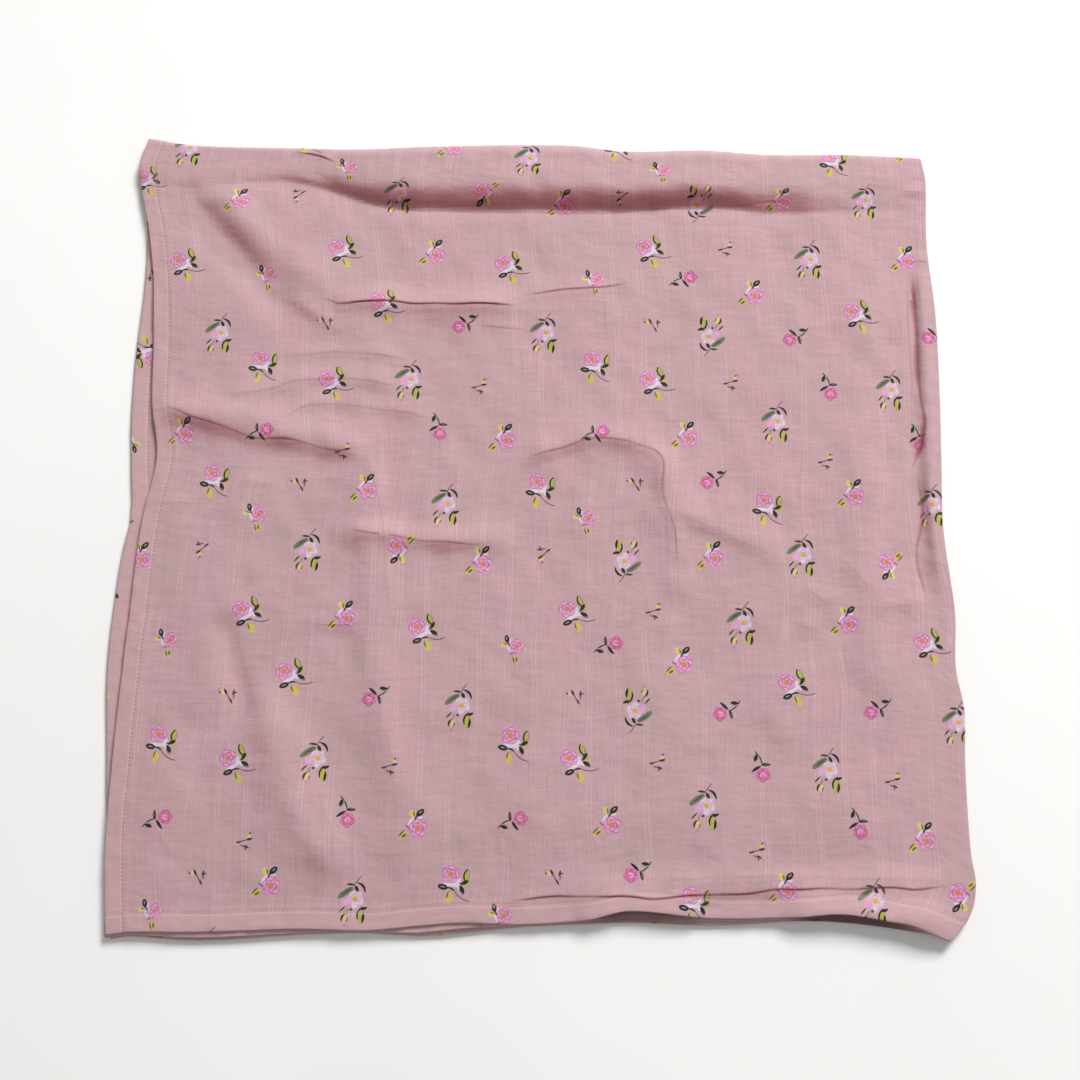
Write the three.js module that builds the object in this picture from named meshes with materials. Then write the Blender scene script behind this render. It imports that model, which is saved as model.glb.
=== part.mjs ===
// Folded muslin play mat: one hemmed, near-square cloth, folded in half twice and laid flat.
// Millimetres, +Z up. +X points to the side folds and +Y to the top fold, so the open hemmed edges lie at
// -X and -Y. The origin is on the resting surface, under the middle of the mat.
//
// The cloth is one sheet. Its four layers are, from the top: top, second, third and lowest. The side folds
// join top to second and third to lowest. The top fold joins top to lowest, outside, and second to third,
// inside.

import * as THREE from "three";

// Driving sizes
const foldedWidth = 600; // from the open side hems to the side folds, half of the flat cloth
const foldedDepth = 594; // from the open bottom hems to the top fold, half of the flat cloth
const sheetThickness = 1.0;
const layerPitch = 2.2; // from the middle of one layer to the middle of the next
const hemDepth = 15;

// How much air lies under the top layer, and how near a trough in it may come to the second layer
const loft = 2.8;
const loftMargin = 70; // the air fades out over this distance from the mat's edges
const deepestTrough = -0.4;

// The second layer follows this share of the top roll, and the inner fold stands this far inside the outer one
const innerRollShare = 0.6;
const innerFoldInset = 2.5;

const clothColour = 0xd9a9ac;

// Open side hems: x of each layer's edge, at shares of the way up from the bottom hem to the top fold
const sideHems = [
  { up: 0.0, top: -299, second: -300, third: -300, lowest: -297 },
  { up: 0.1, top: -303, second: -302, third: -303, lowest: -300 },
  { up: 0.2, top: -302, second: -304, third: -307, lowest: -304 },
  { up: 0.31, top: -299, second: -305, third: -311, lowest: -306 },
  { up: 0.39, top: -296, second: -303, third: -309, lowest: -305 },
  { up: 0.45, top: -294, second: -301, third: -306, lowest: -302 },
  { up: 0.5, top: -291, second: -297, third: -301, lowest: -298 },
  { up: 0.57, top: -284, second: -293, third: -304, lowest: -299 },
  { up: 0.64, top: -290, second: -297, third: -306, lowest: -300 },
  { up: 0.72, top: -292, second: -298, third: -305, lowest: -301 },
  { up: 0.8, top: -295, second: -298, third: -302, lowest: -299 },
  { up: 0.87, top: -301, second: -301, third: -303, lowest: -301 },
  { up: 0.93, top: -309, second: -307, third: -307, lowest: -307 },
  { up: 0.97, top: -311, second: -308, third: -308, lowest: -310 },
  { up: 1.0, top: -306, second: -304, third: -304, lowest: -306 },
];

// Open bottom hems: y of each layer's edge, at shares of the way across from the side hems to the side folds
const bottomHems = [
  { across: 0.0, top: -277, second: -278, third: -279, lowest: -280 },
  { across: 0.03, top: -275, second: -277, third: -278, lowest: -278 },
  { across: 0.11, top: -275, second: -279, third: -281, lowest: -279 },
  { across: 0.23, top: -273, second: -276, third: -277, lowest: -275 },
  { across: 0.31, top: -274, second: -275, third: -276, lowest: -274 },
  { across: 0.37, top: -271, second: -276, third: -278, lowest: -275 },
  { across: 0.42, top: -269, second: -273, third: -276, lowest: -273 },
  { across: 0.49, top: -270, second: -271, third: -272, lowest: -270 },
  { across: 0.57, top: -267, second: -268, third: -270, lowest: -268 },
  { across: 0.62, top: -261, second: -266, third: -269, lowest: -267 },
  { across: 0.72, top: -266, second: -268, third: -271, lowest: -268 },
  { across: 0.82, top: -265, second: -266, third: -268, lowest: -266 },
  { across: 0.87, top: -263, second: -265, third: -269, lowest: -267 },
  { across: 0.93, top: -268, second: -269, third: -273, lowest: -271 },
  { across: 0.96, top: -271, second: -272, third: -276, lowest: -274 },
  { across: 1.0, top: -281, second: -281, third: -279, lowest: -279 },
];

// Side folds: x of the upper fold, top to second, and of the lower fold, third to lowest
const sideFolds = [
  { up: 0.0, upper: 282, lower: 286 },
  { up: 0.03, upper: 297, lower: 296 },
  { up: 0.065, upper: 302, lower: 300 },
  { up: 0.1, upper: 300, lower: 301 },
  { up: 0.2, upper: 300, lower: 298 },
  { up: 0.27, upper: 302, lower: 299 },
  { up: 0.32, upper: 298, lower: 297 },
  { up: 0.39, upper: 300, lower: 297 },
  { up: 0.49, upper: 295, lower: 297 },
  { up: 0.58, upper: 297, lower: 295 },
  { up: 0.66, upper: 299, lower: 296 },
  { up: 0.77, upper: 300, lower: 297 },
  { up: 0.87, upper: 297, lower: 295 },
  { up: 0.97, upper: 299, lower: 297 },
  { up: 1.0, upper: 297, lower: 297 },
];

// Top fold: y of its outline, and the width and height of the soft roll along it
const topFold = [
  { across: 0.0, y: 322, rollWidth: 30, rollHeight: 1.5 },
  { across: 0.06, y: 316, rollWidth: 30, rollHeight: 1.5 },
  { across: 0.18, y: 313, rollWidth: 22, rollHeight: 3 },
  { across: 0.24, y: 311, rollWidth: 30, rollHeight: 6 },
  { across: 0.3, y: 310, rollWidth: 44, rollHeight: 10 },
  { across: 0.36, y: 311, rollWidth: 51, rollHeight: 12.5 },
  { across: 0.54, y: 312, rollWidth: 53, rollHeight: 13 },
  { across: 0.62, y: 307, rollWidth: 49, rollHeight: 12.5 },
  { across: 0.72, y: 308, rollWidth: 45, rollHeight: 10.5 },
  { across: 0.8, y: 305, rollWidth: 41, rollHeight: 6 },
  { across: 0.9, y: 306, rollWidth: 34, rollHeight: 2.5 },
  { across: 1.0, y: 305, rollWidth: 30, rollHeight: 1.5 },
];

// The share of the roll's width over which its crest stays level, before it falls to the valley
const rollCrest = 0.28;

// The layers draw in to make room for the turns at the folds over the last share of their length
const drawInFrom = 0.9;

// The shares of a main fold's length over which it fades in at one end and, mirrored, out at the other
const fadeFrom = -0.08;
const fadeTo = 0.15;

// Main folds of the top layer: each runs from one end to the other, bowed sideways by bow, with a soft round
// section of the given half width. Height is its ridge, or below zero its trough.
const mainFolds = [
  { name: "corner valley", fromX: -272, fromY: 268, toX: -178, toY: 172, bow: -12, half: 15, height: -3.2 },
  { name: "corner ridge", fromX: -252, fromY: 288, toX: -158, toY: 195, bow: -10, half: 16, height: 3.2 },
  { name: "side drag fold", fromX: -284, fromY: 101, toX: -120, toY: 66, bow: 4, half: 13, height: 4.2 },
  { name: "centre arch", fromX: -10, fromY: 60, toX: 92, toY: 62, bow: 17, half: 14, height: 4.0 },
  { name: "centre drop", fromX: 92, fromY: 66, toX: 98, toY: -46, bow: 3, half: 14, height: 3.6 },
  { name: "centre branch", fromX: 96, fromY: 26, toX: 176, toY: -14, bow: 3, half: 14, height: 2.8 },
  { name: "long drop", fromX: -128, fromY: 62, toX: -102, toY: -190, bow: -4, half: 13, height: 3.2 },
  { name: "lower ridge", fromX: -196, fromY: -112, toX: -140, toY: -236, bow: -8, half: 15, height: 4.2 },
  { name: "lower trough", fromX: -222, fromY: -58, toX: -198, toY: -134, bow: 3, half: 14, height: -3.0 },
  { name: "middle wrinkle", fromX: -140, fromY: 4, toX: 60, toY: 6, bow: -8, half: 12, height: 3.2 },
  { name: "upper wrinkle", fromX: -168, fromY: 190, toX: -12, toY: 184, bow: -4, half: 12, height: 3.2 },
  { name: "side fold ridge", fromX: 240, fromY: 90, toX: 240, toY: -110, bow: -5, half: 14, height: 2.8 },
  { name: "side fold roll", fromX: 293, fromY: 214, toX: 292, toY: -40, bow: -3, half: 8, height: 4.0 },
  { name: "pleat over the hem", fromX: 10, fromY: -247, toX: 292, toY: -240, bow: 1, half: 9, height: 3.2 },
  { name: "lifted corner hem", fromX: 170, fromY: -262, toX: 284, toY: -270, bow: 2, half: 15, height: 6.0 },
  { name: "lifted middle hem", fromX: 25, fromY: -265, toX: 110, toY: -265, bow: 2, half: 12, height: 3.5 },
];

// Rows and columns of the sheet: the top layer is divided finely and the hidden layers plainly
const fineColumns = 22;
const plainColumns = 10;
const fineRows = 22;
const plainRows = 11;
const rollRows = 7;
const foldSteps = 4;
const sideFoldZone = 34; // the last columns before the side folds stand closer within this distance
const rollZone = 62; // the rows of the top roll stand closer within this distance of the top fold

const mix = (a, b, share) => a + (b - a) * share;
const clamp = (value, low, high) => Math.min(Math.max(value, low), high);

/** Rises smoothly from 0 at low to 1 at high. */
function rise(low, high, value) {
  const share = clamp((value - low) / (high - low), 0, 1);
  return share * share * (3 - 2 * share);
}

/** Even steps from one value to another, both ends included. */
function steps(from, to, count) {
  return Array.from({ length: count + 1 }, (_, i) => mix(from, to, i / count));
}

/** A smooth curve through one named column of a table, read at a value of its key column. */
function curve(table, key, name) {
  const at = table.map((row) => row[key]);
  const value = table.map((row) => row[name]);
  const last = at.length - 1;
  const slope = at.map((_, i) => {
    const before = Math.max(i - 1, 0);
    const after = Math.min(i + 1, last);
    return (value[after] - value[before]) / (at[after] - at[before]);
  });
  return (x) => {
    const found = at.findIndex((edge) => edge > x);
    const i = found < 0 ? last - 1 : clamp(found - 1, 0, last - 1);
    const span = at[i + 1] - at[i];
    const f = clamp((x - at[i]) / span, 0, 1);
    const pull = span * f * (1 - f) * ((1 - f) * slope[i] - f * slope[i + 1]);
    const ease = f * f * (3 - 2 * f);
    return mix(value[i], value[i + 1], ease) + pull;
  };
}

const layers = ["top", "second", "third", "lowest"];
const sideHemOf = layers.map((name) => curve(sideHems, "up", name));
const bottomHemOf = layers.map((name) => curve(bottomHems, "across", name));
const upperFoldX = curve(sideFolds, "up", "upper");
const lowerFoldX = curve(sideFolds, "up", "lower");
const topFoldY = curve(topFold, "across", "y");
const rollWidthAt = curve(topFold, "across", "rollWidth");
const rollHeightAt = curve(topFold, "across", "rollHeight");

/** Mixes the four layers' values: outer is 1 on the top and lowest layers, over is 1 on the upper two. */
function blend([top, second, third, lowest], outer, over) {
  return mix(mix(third, lowest, outer), mix(second, top, outer), over);
}

/** Height that one main fold adds at a point of the top layer. */
function foldHeight(fold, x, y) {
  const along = new THREE.Vector2(fold.toX - fold.fromX, fold.toY - fold.fromY);
  const length = along.length();
  along.divideScalar(length);
  const offX = x - fold.fromX;
  const offY = y - fold.fromY;
  const share = (offX * along.x + offY * along.y) / length;
  const bowed = fold.bow * 4 * share * (1 - share);
  const across = (offY * along.x - offX * along.y - bowed) / fold.half;
  const fade = rise(fadeFrom, fadeTo, share) * rise(fadeFrom, fadeTo, 1 - share);
  return fold.height * fade * Math.exp(-across * across);
}

/** Lift of the soft roll at a distance down from its flat rows: a level crest, then a fall to a sharp valley. */
function rollLift(across, down) {
  const height = rollHeightAt(across);
  const fromOutline = down + (3 * layerPitch + height) / 2;
  const share = clamp((fromOutline / rollWidthAt(across) - rollCrest) / (1 - rollCrest), 0, 1);
  return height * Math.cos((share * Math.PI) / 2);
}

/** Relief of the top layer over its flat height: air, main folds and the roll. */
function topRelief(x, y, across, up) {
  const fromSide = Math.min(across, 1 - across) * foldedWidth;
  const fromEnd = Math.min(up, 1 - up) * foldedDepth;
  const air = loft * rise(0, loftMargin, fromSide) * rise(0, loftMargin, fromEnd);
  const folds = mainFolds.reduce((sum, fold) => sum + foldHeight(fold, x, y), 0);
  return Math.max(air + folds, deepestTrough);
}

/**
 * A point of the sheet's middle surface. side is a station from the side hem through the side fold and back,
 * and end is a station from the bottom hem over the top fold and back.
 */
function sheetPoint(side, end) {
  const outerShare = side.turn;
  const overShare = end.turn;
  const across = side.share;
  const up = end.share;

  const left = blend(sideHemOf.map((of) => of(up)), outerShare, overShare);
  const bottom = blend(bottomHemOf.map((of) => of(across)), outerShare, overShare);
  const right = mix(lowerFoldX(up), upperFoldX(up), overShare);
  const top = topFoldY(across);
  const planX = mix(left, right, across);
  const planY = mix(bottom, top, up);

  const roll = rollLift(across, (1 - up) * foldedDepth);
  const floor = sheetThickness / 2;
  const heights = [
    floor + 3 * layerPitch + roll + topRelief(planX, planY, across, up),
    floor + 2 * layerPitch + roll * innerRollShare,
    floor + layerPitch,
    floor,
  ];
  const sideRadius = mix(heights[2] - heights[3], heights[0] - heights[1], overShare) / 2;
  const endRadii = [heights[1] - heights[2], heights[0] - heights[3]].map((gap) => gap / 2);
  const endRadius = mix(endRadii[0], endRadii[1], outerShare);

  const sideSetback = sideRadius * (1 - side.bulge) * rise(drawInFrom, 1, across);
  const endInset = innerFoldInset * (1 - outerShare);
  const endSetback = (endInset + endRadii[1] - endRadius * end.bulge) * rise(drawInFrom, 1, up);
  const z = blend(heights, outerShare, overShare);
  return new THREE.Vector3(planX - sideSetback, planY - endSetback, z);
}

/**
 * Stations across one fold: shares of the way from the first hem to the fold, the turn through the fold, and
 * shares of the way back. turn is 1 before the fold and 0 after it, and bulge is how far out the turn stands.
 */
function stations(before, after) {
  const turning = steps(0, Math.PI, foldSteps).slice(1, -1);
  return [
    ...before.map((share) => ({ share, turn: 1, bulge: 0 })),
    ...turning.map((angle) => ({ share: 1, turn: (1 + Math.cos(angle)) / 2, bulge: Math.sin(angle) })),
    ...after.toReversed().map((share) => ({ share, turn: 0, bulge: 0 })),
  ];
}

const hemShare = hemDepth / foldedWidth;
const sideZone = 1 - sideFoldZone / foldedWidth;
const endZone = 1 - rollZone / foldedDepth;
const columns = stations(
  [0, ...steps(hemShare, sideZone, fineColumns), ...steps(sideZone, 1, foldSteps).slice(1)],
  [0, ...steps(hemShare, 1, plainColumns)],
);
const rows = stations(
  [0, ...steps(hemShare, endZone, fineRows), ...steps(endZone, 1, rollRows).slice(1)],
  [0, ...steps(hemShare, endZone, plainRows), 1],
);

/** Unit normals of a grid of points, facing up on the top layer. */
function gridNormals(grid) {
  const at = (j, i) => grid[clamp(j, 0, grid.length - 1)][clamp(i, 0, grid[0].length - 1)];
  return grid.map((row, j) =>
    row.map((_, i) => {
      const alongColumns = at(j, i + 1).clone().sub(at(j, i - 1));
      const alongRows = at(j + 1, i).clone().sub(at(j - 1, i));
      return alongColumns.cross(alongRows).normalize();
    }),
  );
}

/** A closed solid of even thickness round a grid of middle points: two skins and a rim. */
function sheetSolid(grid, thickness) {
  const normals = gridNormals(grid);
  const rowCount = grid.length;
  const columnCount = grid[0].length;
  const positions = [];
  for (const sign of [1, -1]) {
    grid.forEach((row, j) =>
      row.forEach((point, i) => {
        const offset = normals[j][i].clone().multiplyScalar((sign * thickness) / 2);
        positions.push(...point.clone().add(offset).toArray());
      }),
    );
  }

  const upper = (j, i) => j * columnCount + i;
  const lower = (j, i) => rowCount * columnCount + upper(j, i);
  const faces = [];
  const quad = (a, b, c, d) => faces.push(a, b, c, a, c, d);
  for (let j = 0; j < rowCount - 1; j += 1) {
    for (let i = 0; i < columnCount - 1; i += 1) {
      quad(upper(j, i), upper(j, i + 1), upper(j + 1, i + 1), upper(j + 1, i));
      quad(lower(j, i), lower(j + 1, i), lower(j + 1, i + 1), lower(j, i + 1));
    }
  }
  const lastRow = rowCount - 1;
  const lastColumn = columnCount - 1;
  const rimWall = (j, i, nextJ, nextI) =>
    quad(lower(j, i), lower(nextJ, nextI), upper(nextJ, nextI), upper(j, i));
  for (let i = 0; i < lastColumn; i += 1) {
    rimWall(0, i, 0, i + 1);
    rimWall(lastRow, i + 1, lastRow, i);
  }
  for (let j = 0; j < lastRow; j += 1) {
    rimWall(j, lastColumn, j + 1, lastColumn);
    rimWall(j + 1, 0, j, 0);
  }

  const geometry = new THREE.BufferGeometry();
  geometry.setAttribute("position", new THREE.Float32BufferAttribute(positions, 3));
  geometry.setIndex(faces);
  return geometry;
}

/** Moves a geometry so that its footprint is centred on the origin and its underside is at zero. */
function centreOnBase(geometry) {
  geometry.computeBoundingBox();
  const { min, max } = geometry.boundingBox;
  geometry.translate(-(min.x + max.x) / 2, -(min.y + max.y) / 2, -min.z);
  return geometry;
}

const grid = rows.map((end) => columns.map((side) => sheetPoint(side, end)));
const muslin = new THREE.MeshStandardMaterial({ color: clothColour, roughness: 0.9, metalness: 0 });
const cloth = new THREE.Mesh(centreOnBase(sheetSolid(grid, sheetThickness)), muslin);
cloth.name = "muslin_mat";

const mat = new THREE.Group();
mat.add(cloth);

export default mat;
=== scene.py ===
"""Looks of the folded muslin play mat.

The mat is one hemmed, near-square cloth of printed muslin, folded in half twice and laid flat. Sizes are in
millimetres in the mat's own plan, where +X points to the side folds and +Y to the top fold. They turn into
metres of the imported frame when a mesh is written. The cloth's four layers are, from the top: top, second,
third and lowest. The side folds join top to second and third to lowest, and the top fold joins top to
lowest, outside, and second to third, inside.
"""

import logging
import math
from dataclasses import dataclass, field
from enum import Enum
from typing import Any

import bpy
import numpy as np
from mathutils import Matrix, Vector
from numpy.typing import NDArray


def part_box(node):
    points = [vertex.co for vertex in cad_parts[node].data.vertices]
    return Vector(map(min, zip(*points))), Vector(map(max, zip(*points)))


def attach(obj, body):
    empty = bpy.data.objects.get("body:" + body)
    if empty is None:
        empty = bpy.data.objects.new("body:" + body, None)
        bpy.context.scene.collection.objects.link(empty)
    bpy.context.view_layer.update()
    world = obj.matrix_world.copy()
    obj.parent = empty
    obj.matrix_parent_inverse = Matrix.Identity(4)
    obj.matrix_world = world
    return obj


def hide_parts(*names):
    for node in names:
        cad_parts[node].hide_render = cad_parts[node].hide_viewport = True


Array = NDArray[np.float64]
Indices = NDArray[np.int64]
Point = tuple[float, float]
Place = tuple[float, float, float]
Colour = tuple[float, float, float, float]
Runs = tuple[tuple[float, int], ...]
Socket = bpy.types.NodeSocket
NodeTree = bpy.types.NodeTree

MM = 0.001  # metres in a millimetre
STUDIO_GAIN = 1.2  # how much brighter a colour looks in the studio than its base colour

logging.basicConfig(level=logging.INFO, format="%(name)s: %(message)s")
log = logging.getLogger("play_mat")

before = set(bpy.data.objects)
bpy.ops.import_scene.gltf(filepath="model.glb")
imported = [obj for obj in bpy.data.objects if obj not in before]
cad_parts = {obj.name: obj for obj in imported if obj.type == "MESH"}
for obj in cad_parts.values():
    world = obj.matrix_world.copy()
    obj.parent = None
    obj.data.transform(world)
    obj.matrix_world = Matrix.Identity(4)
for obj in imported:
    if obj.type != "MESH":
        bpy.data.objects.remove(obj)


def mix(start: Any, end: Any, share: Any) -> Any:
    """start + (end - start) * share."""
    return start + (end - start) * share


def rise(low: float, high: float, value: Array) -> Array:
    """Rises smoothly from 0 at low to 1 at high: s * s * (3 - 2 s) of the share s on the way."""
    share = np.clip((value - low) / (high - low), 0.0, 1.0)
    return share * share * (3 - 2 * share)


@dataclass(frozen=True)
class Ripples:
    """Gentle unevenness: the mean of plane waves in seeded directions.

    Attributes:
        height: about how far it goes up and down, in mm or as a share.
        wavelength: the typical distance from crest to crest, in mm.
        waves: how many plane waves are added.
        seed: fixes the directions, lengths and phases.
    """

    height: float
    wavelength: float
    waves: int
    seed: int

    STRETCH = (0.7, 1.5)  # the shortest and the longest wave beside the typical one

    def at(self, x: Array, y: Array) -> Array:
        """height * sum of cos(2 pi (x cos a + y sin a) / length + phase), over the root of the number of waves."""
        rng = np.random.default_rng(self.seed)
        angles = rng.uniform(0, math.pi, self.waves)
        stretches = rng.uniform(*self.STRETCH, self.waves)
        phases = rng.uniform(0, math.tau, self.waves)
        total = np.zeros_like(x)
        for angle, stretch, phase in zip(angles, stretches, phases):
            along = x * math.cos(angle) + y * math.sin(angle)
            total += np.cos(math.tau * along / (self.wavelength * stretch) + phase)
        return self.height * (total / math.sqrt(self.waves))


@dataclass(frozen=True)
class Table:
    """A short table with named columns.

    Attributes:
        columns: the columns' names, with blanks between them.
        rows: one tuple of numbers for each section, the first column rising.
    """

    columns: str
    rows: tuple[tuple[float, ...], ...]

    def column(self, name: str) -> Array:
        """The numbers of one named column."""
        return np.array([row[self.columns.split().index(name)] for row in self.rows], float)

    def curve(self, name: str, where: Array) -> Array:
        """A smooth curve through one column, read at values of the first column.

        Each span from a to b is the cubic with the two end values and, as its end slopes, the slopes of
        the chords between the neighbouring rows.

        Args:
            name: the column that is read.
            where: values of the first column.

        Returns:
            The curve's values.
        """
        at = self.column(self.columns.split()[0])
        value = self.column(name)
        last = len(at) - 1
        before = np.maximum(np.arange(last + 1) - 1, 0)
        after = np.minimum(np.arange(last + 1) + 1, last)
        slope = (value[after] - value[before]) / (at[after] - at[before])
        i = np.clip(np.searchsorted(at, where, side="right") - 1, 0, last - 1)
        span = at[i + 1] - at[i]
        f = np.clip((where - at[i]) / span, 0.0, 1.0)
        pull = span * f * (1 - f) * ((1 - f) * slope[i] - f * slope[i + 1])
        return mix(value[i], value[i + 1], f * f * (3 - 2 * f)) + pull


# Open side hems: x of each layer's edge, at shares of the way up from the bottom hem to the top fold
SIDE_HEMS = Table(
    "up top second third lowest",
    (
        (0.0, -299, -300, -300, -297), (0.1, -303, -302, -303, -300), (0.2, -302, -301, -307, -304),
        (0.31, -299, -298, -311, -306), (0.39, -296, -295, -309, -305), (0.45, -294, -293, -306, -302),
        (0.5, -291, -290, -301, -298), (0.57, -284, -283, -304, -299), (0.64, -290, -289, -306, -300),
        (0.72, -292, -291, -305, -301), (0.8, -295, -294, -302, -299), (0.87, -301, -300, -303, -301),
        (0.93, -309, -307, -307, -307), (0.97, -311, -308, -308, -310), (1.0, -306, -304, -304, -306),
    ),
)

# Open bottom hems: y of each layer's edge, at shares of the way across from the side hems to the side folds
BOTTOM_HEMS = Table(
    "across top second third lowest",
    (
        (0.0, -277, -278, -279, -280), (0.03, -275, -277, -278, -278), (0.11, -275, -279, -281, -279),
        (0.23, -273, -276, -277, -275), (0.31, -274, -275, -276, -274), (0.37, -271, -276, -278, -275),
        (0.42, -269, -273, -276, -273), (0.49, -270, -271, -272, -270), (0.57, -267, -268, -270, -268),
        (0.62, -261, -266, -269, -267), (0.72, -266, -268, -271, -268), (0.82, -265, -266, -268, -266),
        (0.87, -263, -265, -269, -267), (0.93, -268, -269, -273, -271), (0.96, -271, -272, -276, -274),
        (1.0, -281, -281, -279, -279),
    ),
)

# Side folds: x of the upper fold, top to second, and of the lower fold, third to lowest
SIDE_FOLDS = Table(
    "up upper lower",
    (
        (0.0, 282, 286), (0.03, 297, 296), (0.065, 302, 300), (0.1, 300, 301), (0.2, 300, 298), (0.27, 302, 299),
        (0.32, 298, 297), (0.39, 300, 297), (0.49, 295, 297), (0.58, 297, 295), (0.66, 299, 296), (0.77, 300, 297),
        (0.87, 297, 295), (0.97, 299, 297), (1.0, 297, 297),
    ),
)

# Top fold: y of its outline, and the width and height of the soft roll along it
TOP_FOLD = Table(
    "across y roll_width roll_height",
    (
        (0.0, 322, 30, 1.5), (0.06, 316, 30, 1.5), (0.18, 313, 22, 3), (0.24, 311, 30, 6), (0.3, 310, 44, 10),
        (0.36, 311, 51, 12.5), (0.54, 312, 53, 13), (0.62, 307, 49, 12.5), (0.72, 308, 46, 12), (0.8, 305, 48, 10),
        (0.9, 306, 47, 7), (1.0, 305, 38, 1.5),
    ),
)


@dataclass(frozen=True)
class MainFold:
    """A wide, round fold of the top layer, from one end to the other.

    Attributes:
        name: what a maker would call it.
        start, end: its two ends in plan, in mm.
        bow: how far its middle stands to the left of the straight line, in mm.
        half: half width of its round section, in mm.
        height: its ridge, or below zero its trough, in mm.
    """

    name: str
    start: Point
    end: Point
    bow: float
    half: float
    height: float

    FADE = (-0.08, 0.15)  # the shares of its length over which it fades in, and mirrored out

    def lift(self, x: Array, y: Array) -> Array:
        """Height it adds at plan points: height * fade * exp(-(a / half) ** 2), a being the distance across.

        The crest is bowed sideways by 4 * bow * s * (1 - s) at the share s of its length.
        """
        run = np.subtract(self.end, self.start)
        length = float(np.hypot(*run))
        along_x, along_y = run / length
        off_x, off_y = x - self.start[0], y - self.start[1]
        share = (off_x * along_x + off_y * along_y) / length
        across = off_y * along_x - off_x * along_y - 4 * self.bow * share * (1 - share)
        fade = rise(*self.FADE, share) * rise(*self.FADE, 1 - share)
        return self.height * fade * np.exp(-((across / self.half) ** 2))


MAIN_FOLDS = (
    MainFold("corner valley", (-280, 276), (-182, 178), -8, 14, -3.0),
    MainFold("corner ridge", (-252, 288), (-158, 195), -10, 16, 3.2),
    MainFold("side drag fold", (-284, 101), (-120, 66), 4, 13, 4.2),
    MainFold("centre arch", (-10, 60), (92, 62), 19, 14, 2.6),
    MainFold("centre drop", (92, 66), (98, -46), 3, 14, 2.6),
    MainFold("centre branch", (96, 26), (176, -14), 3, 13, 2.2),
    MainFold("long drop", (-128, 62), (-102, -190), -4, 13, 3.2),
    MainFold("lower ridge", (-196, -112), (-140, -236), -8, 15, 4.2),
    MainFold("lower trough", (-231, -56), (-207, -134), 3, 12, -3.2),
    MainFold("middle wrinkle", (-150, 6), (-20, 0), -1, 10, 2.8),
    MainFold("upper wrinkle", (-168, 190), (-12, 184), -4, 11, 2.8),
    MainFold("side fold ridge", (240, 90), (240, -110), -5, 14, 2.8),
    MainFold("side fold roll", (294, 214), (293, -40), -3, 7, 5.0),
    MainFold("pleat over the hem", (10, -247), (292, -240), 1, 9, 2.2),
    MainFold("lifted corner hem", (170, -262), (284, -270), 2, 15, 6.0),
    MainFold("lifted middle hem", (25, -265), (110, -265), 2, 12, 3.5),
)


class Pinch(Enum):
    """How a crease is pinched along its line."""

    TUCK = 1  # the left side, along its run, stands over the right one
    VALLEY = -1  # both sides fall to the line


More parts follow.
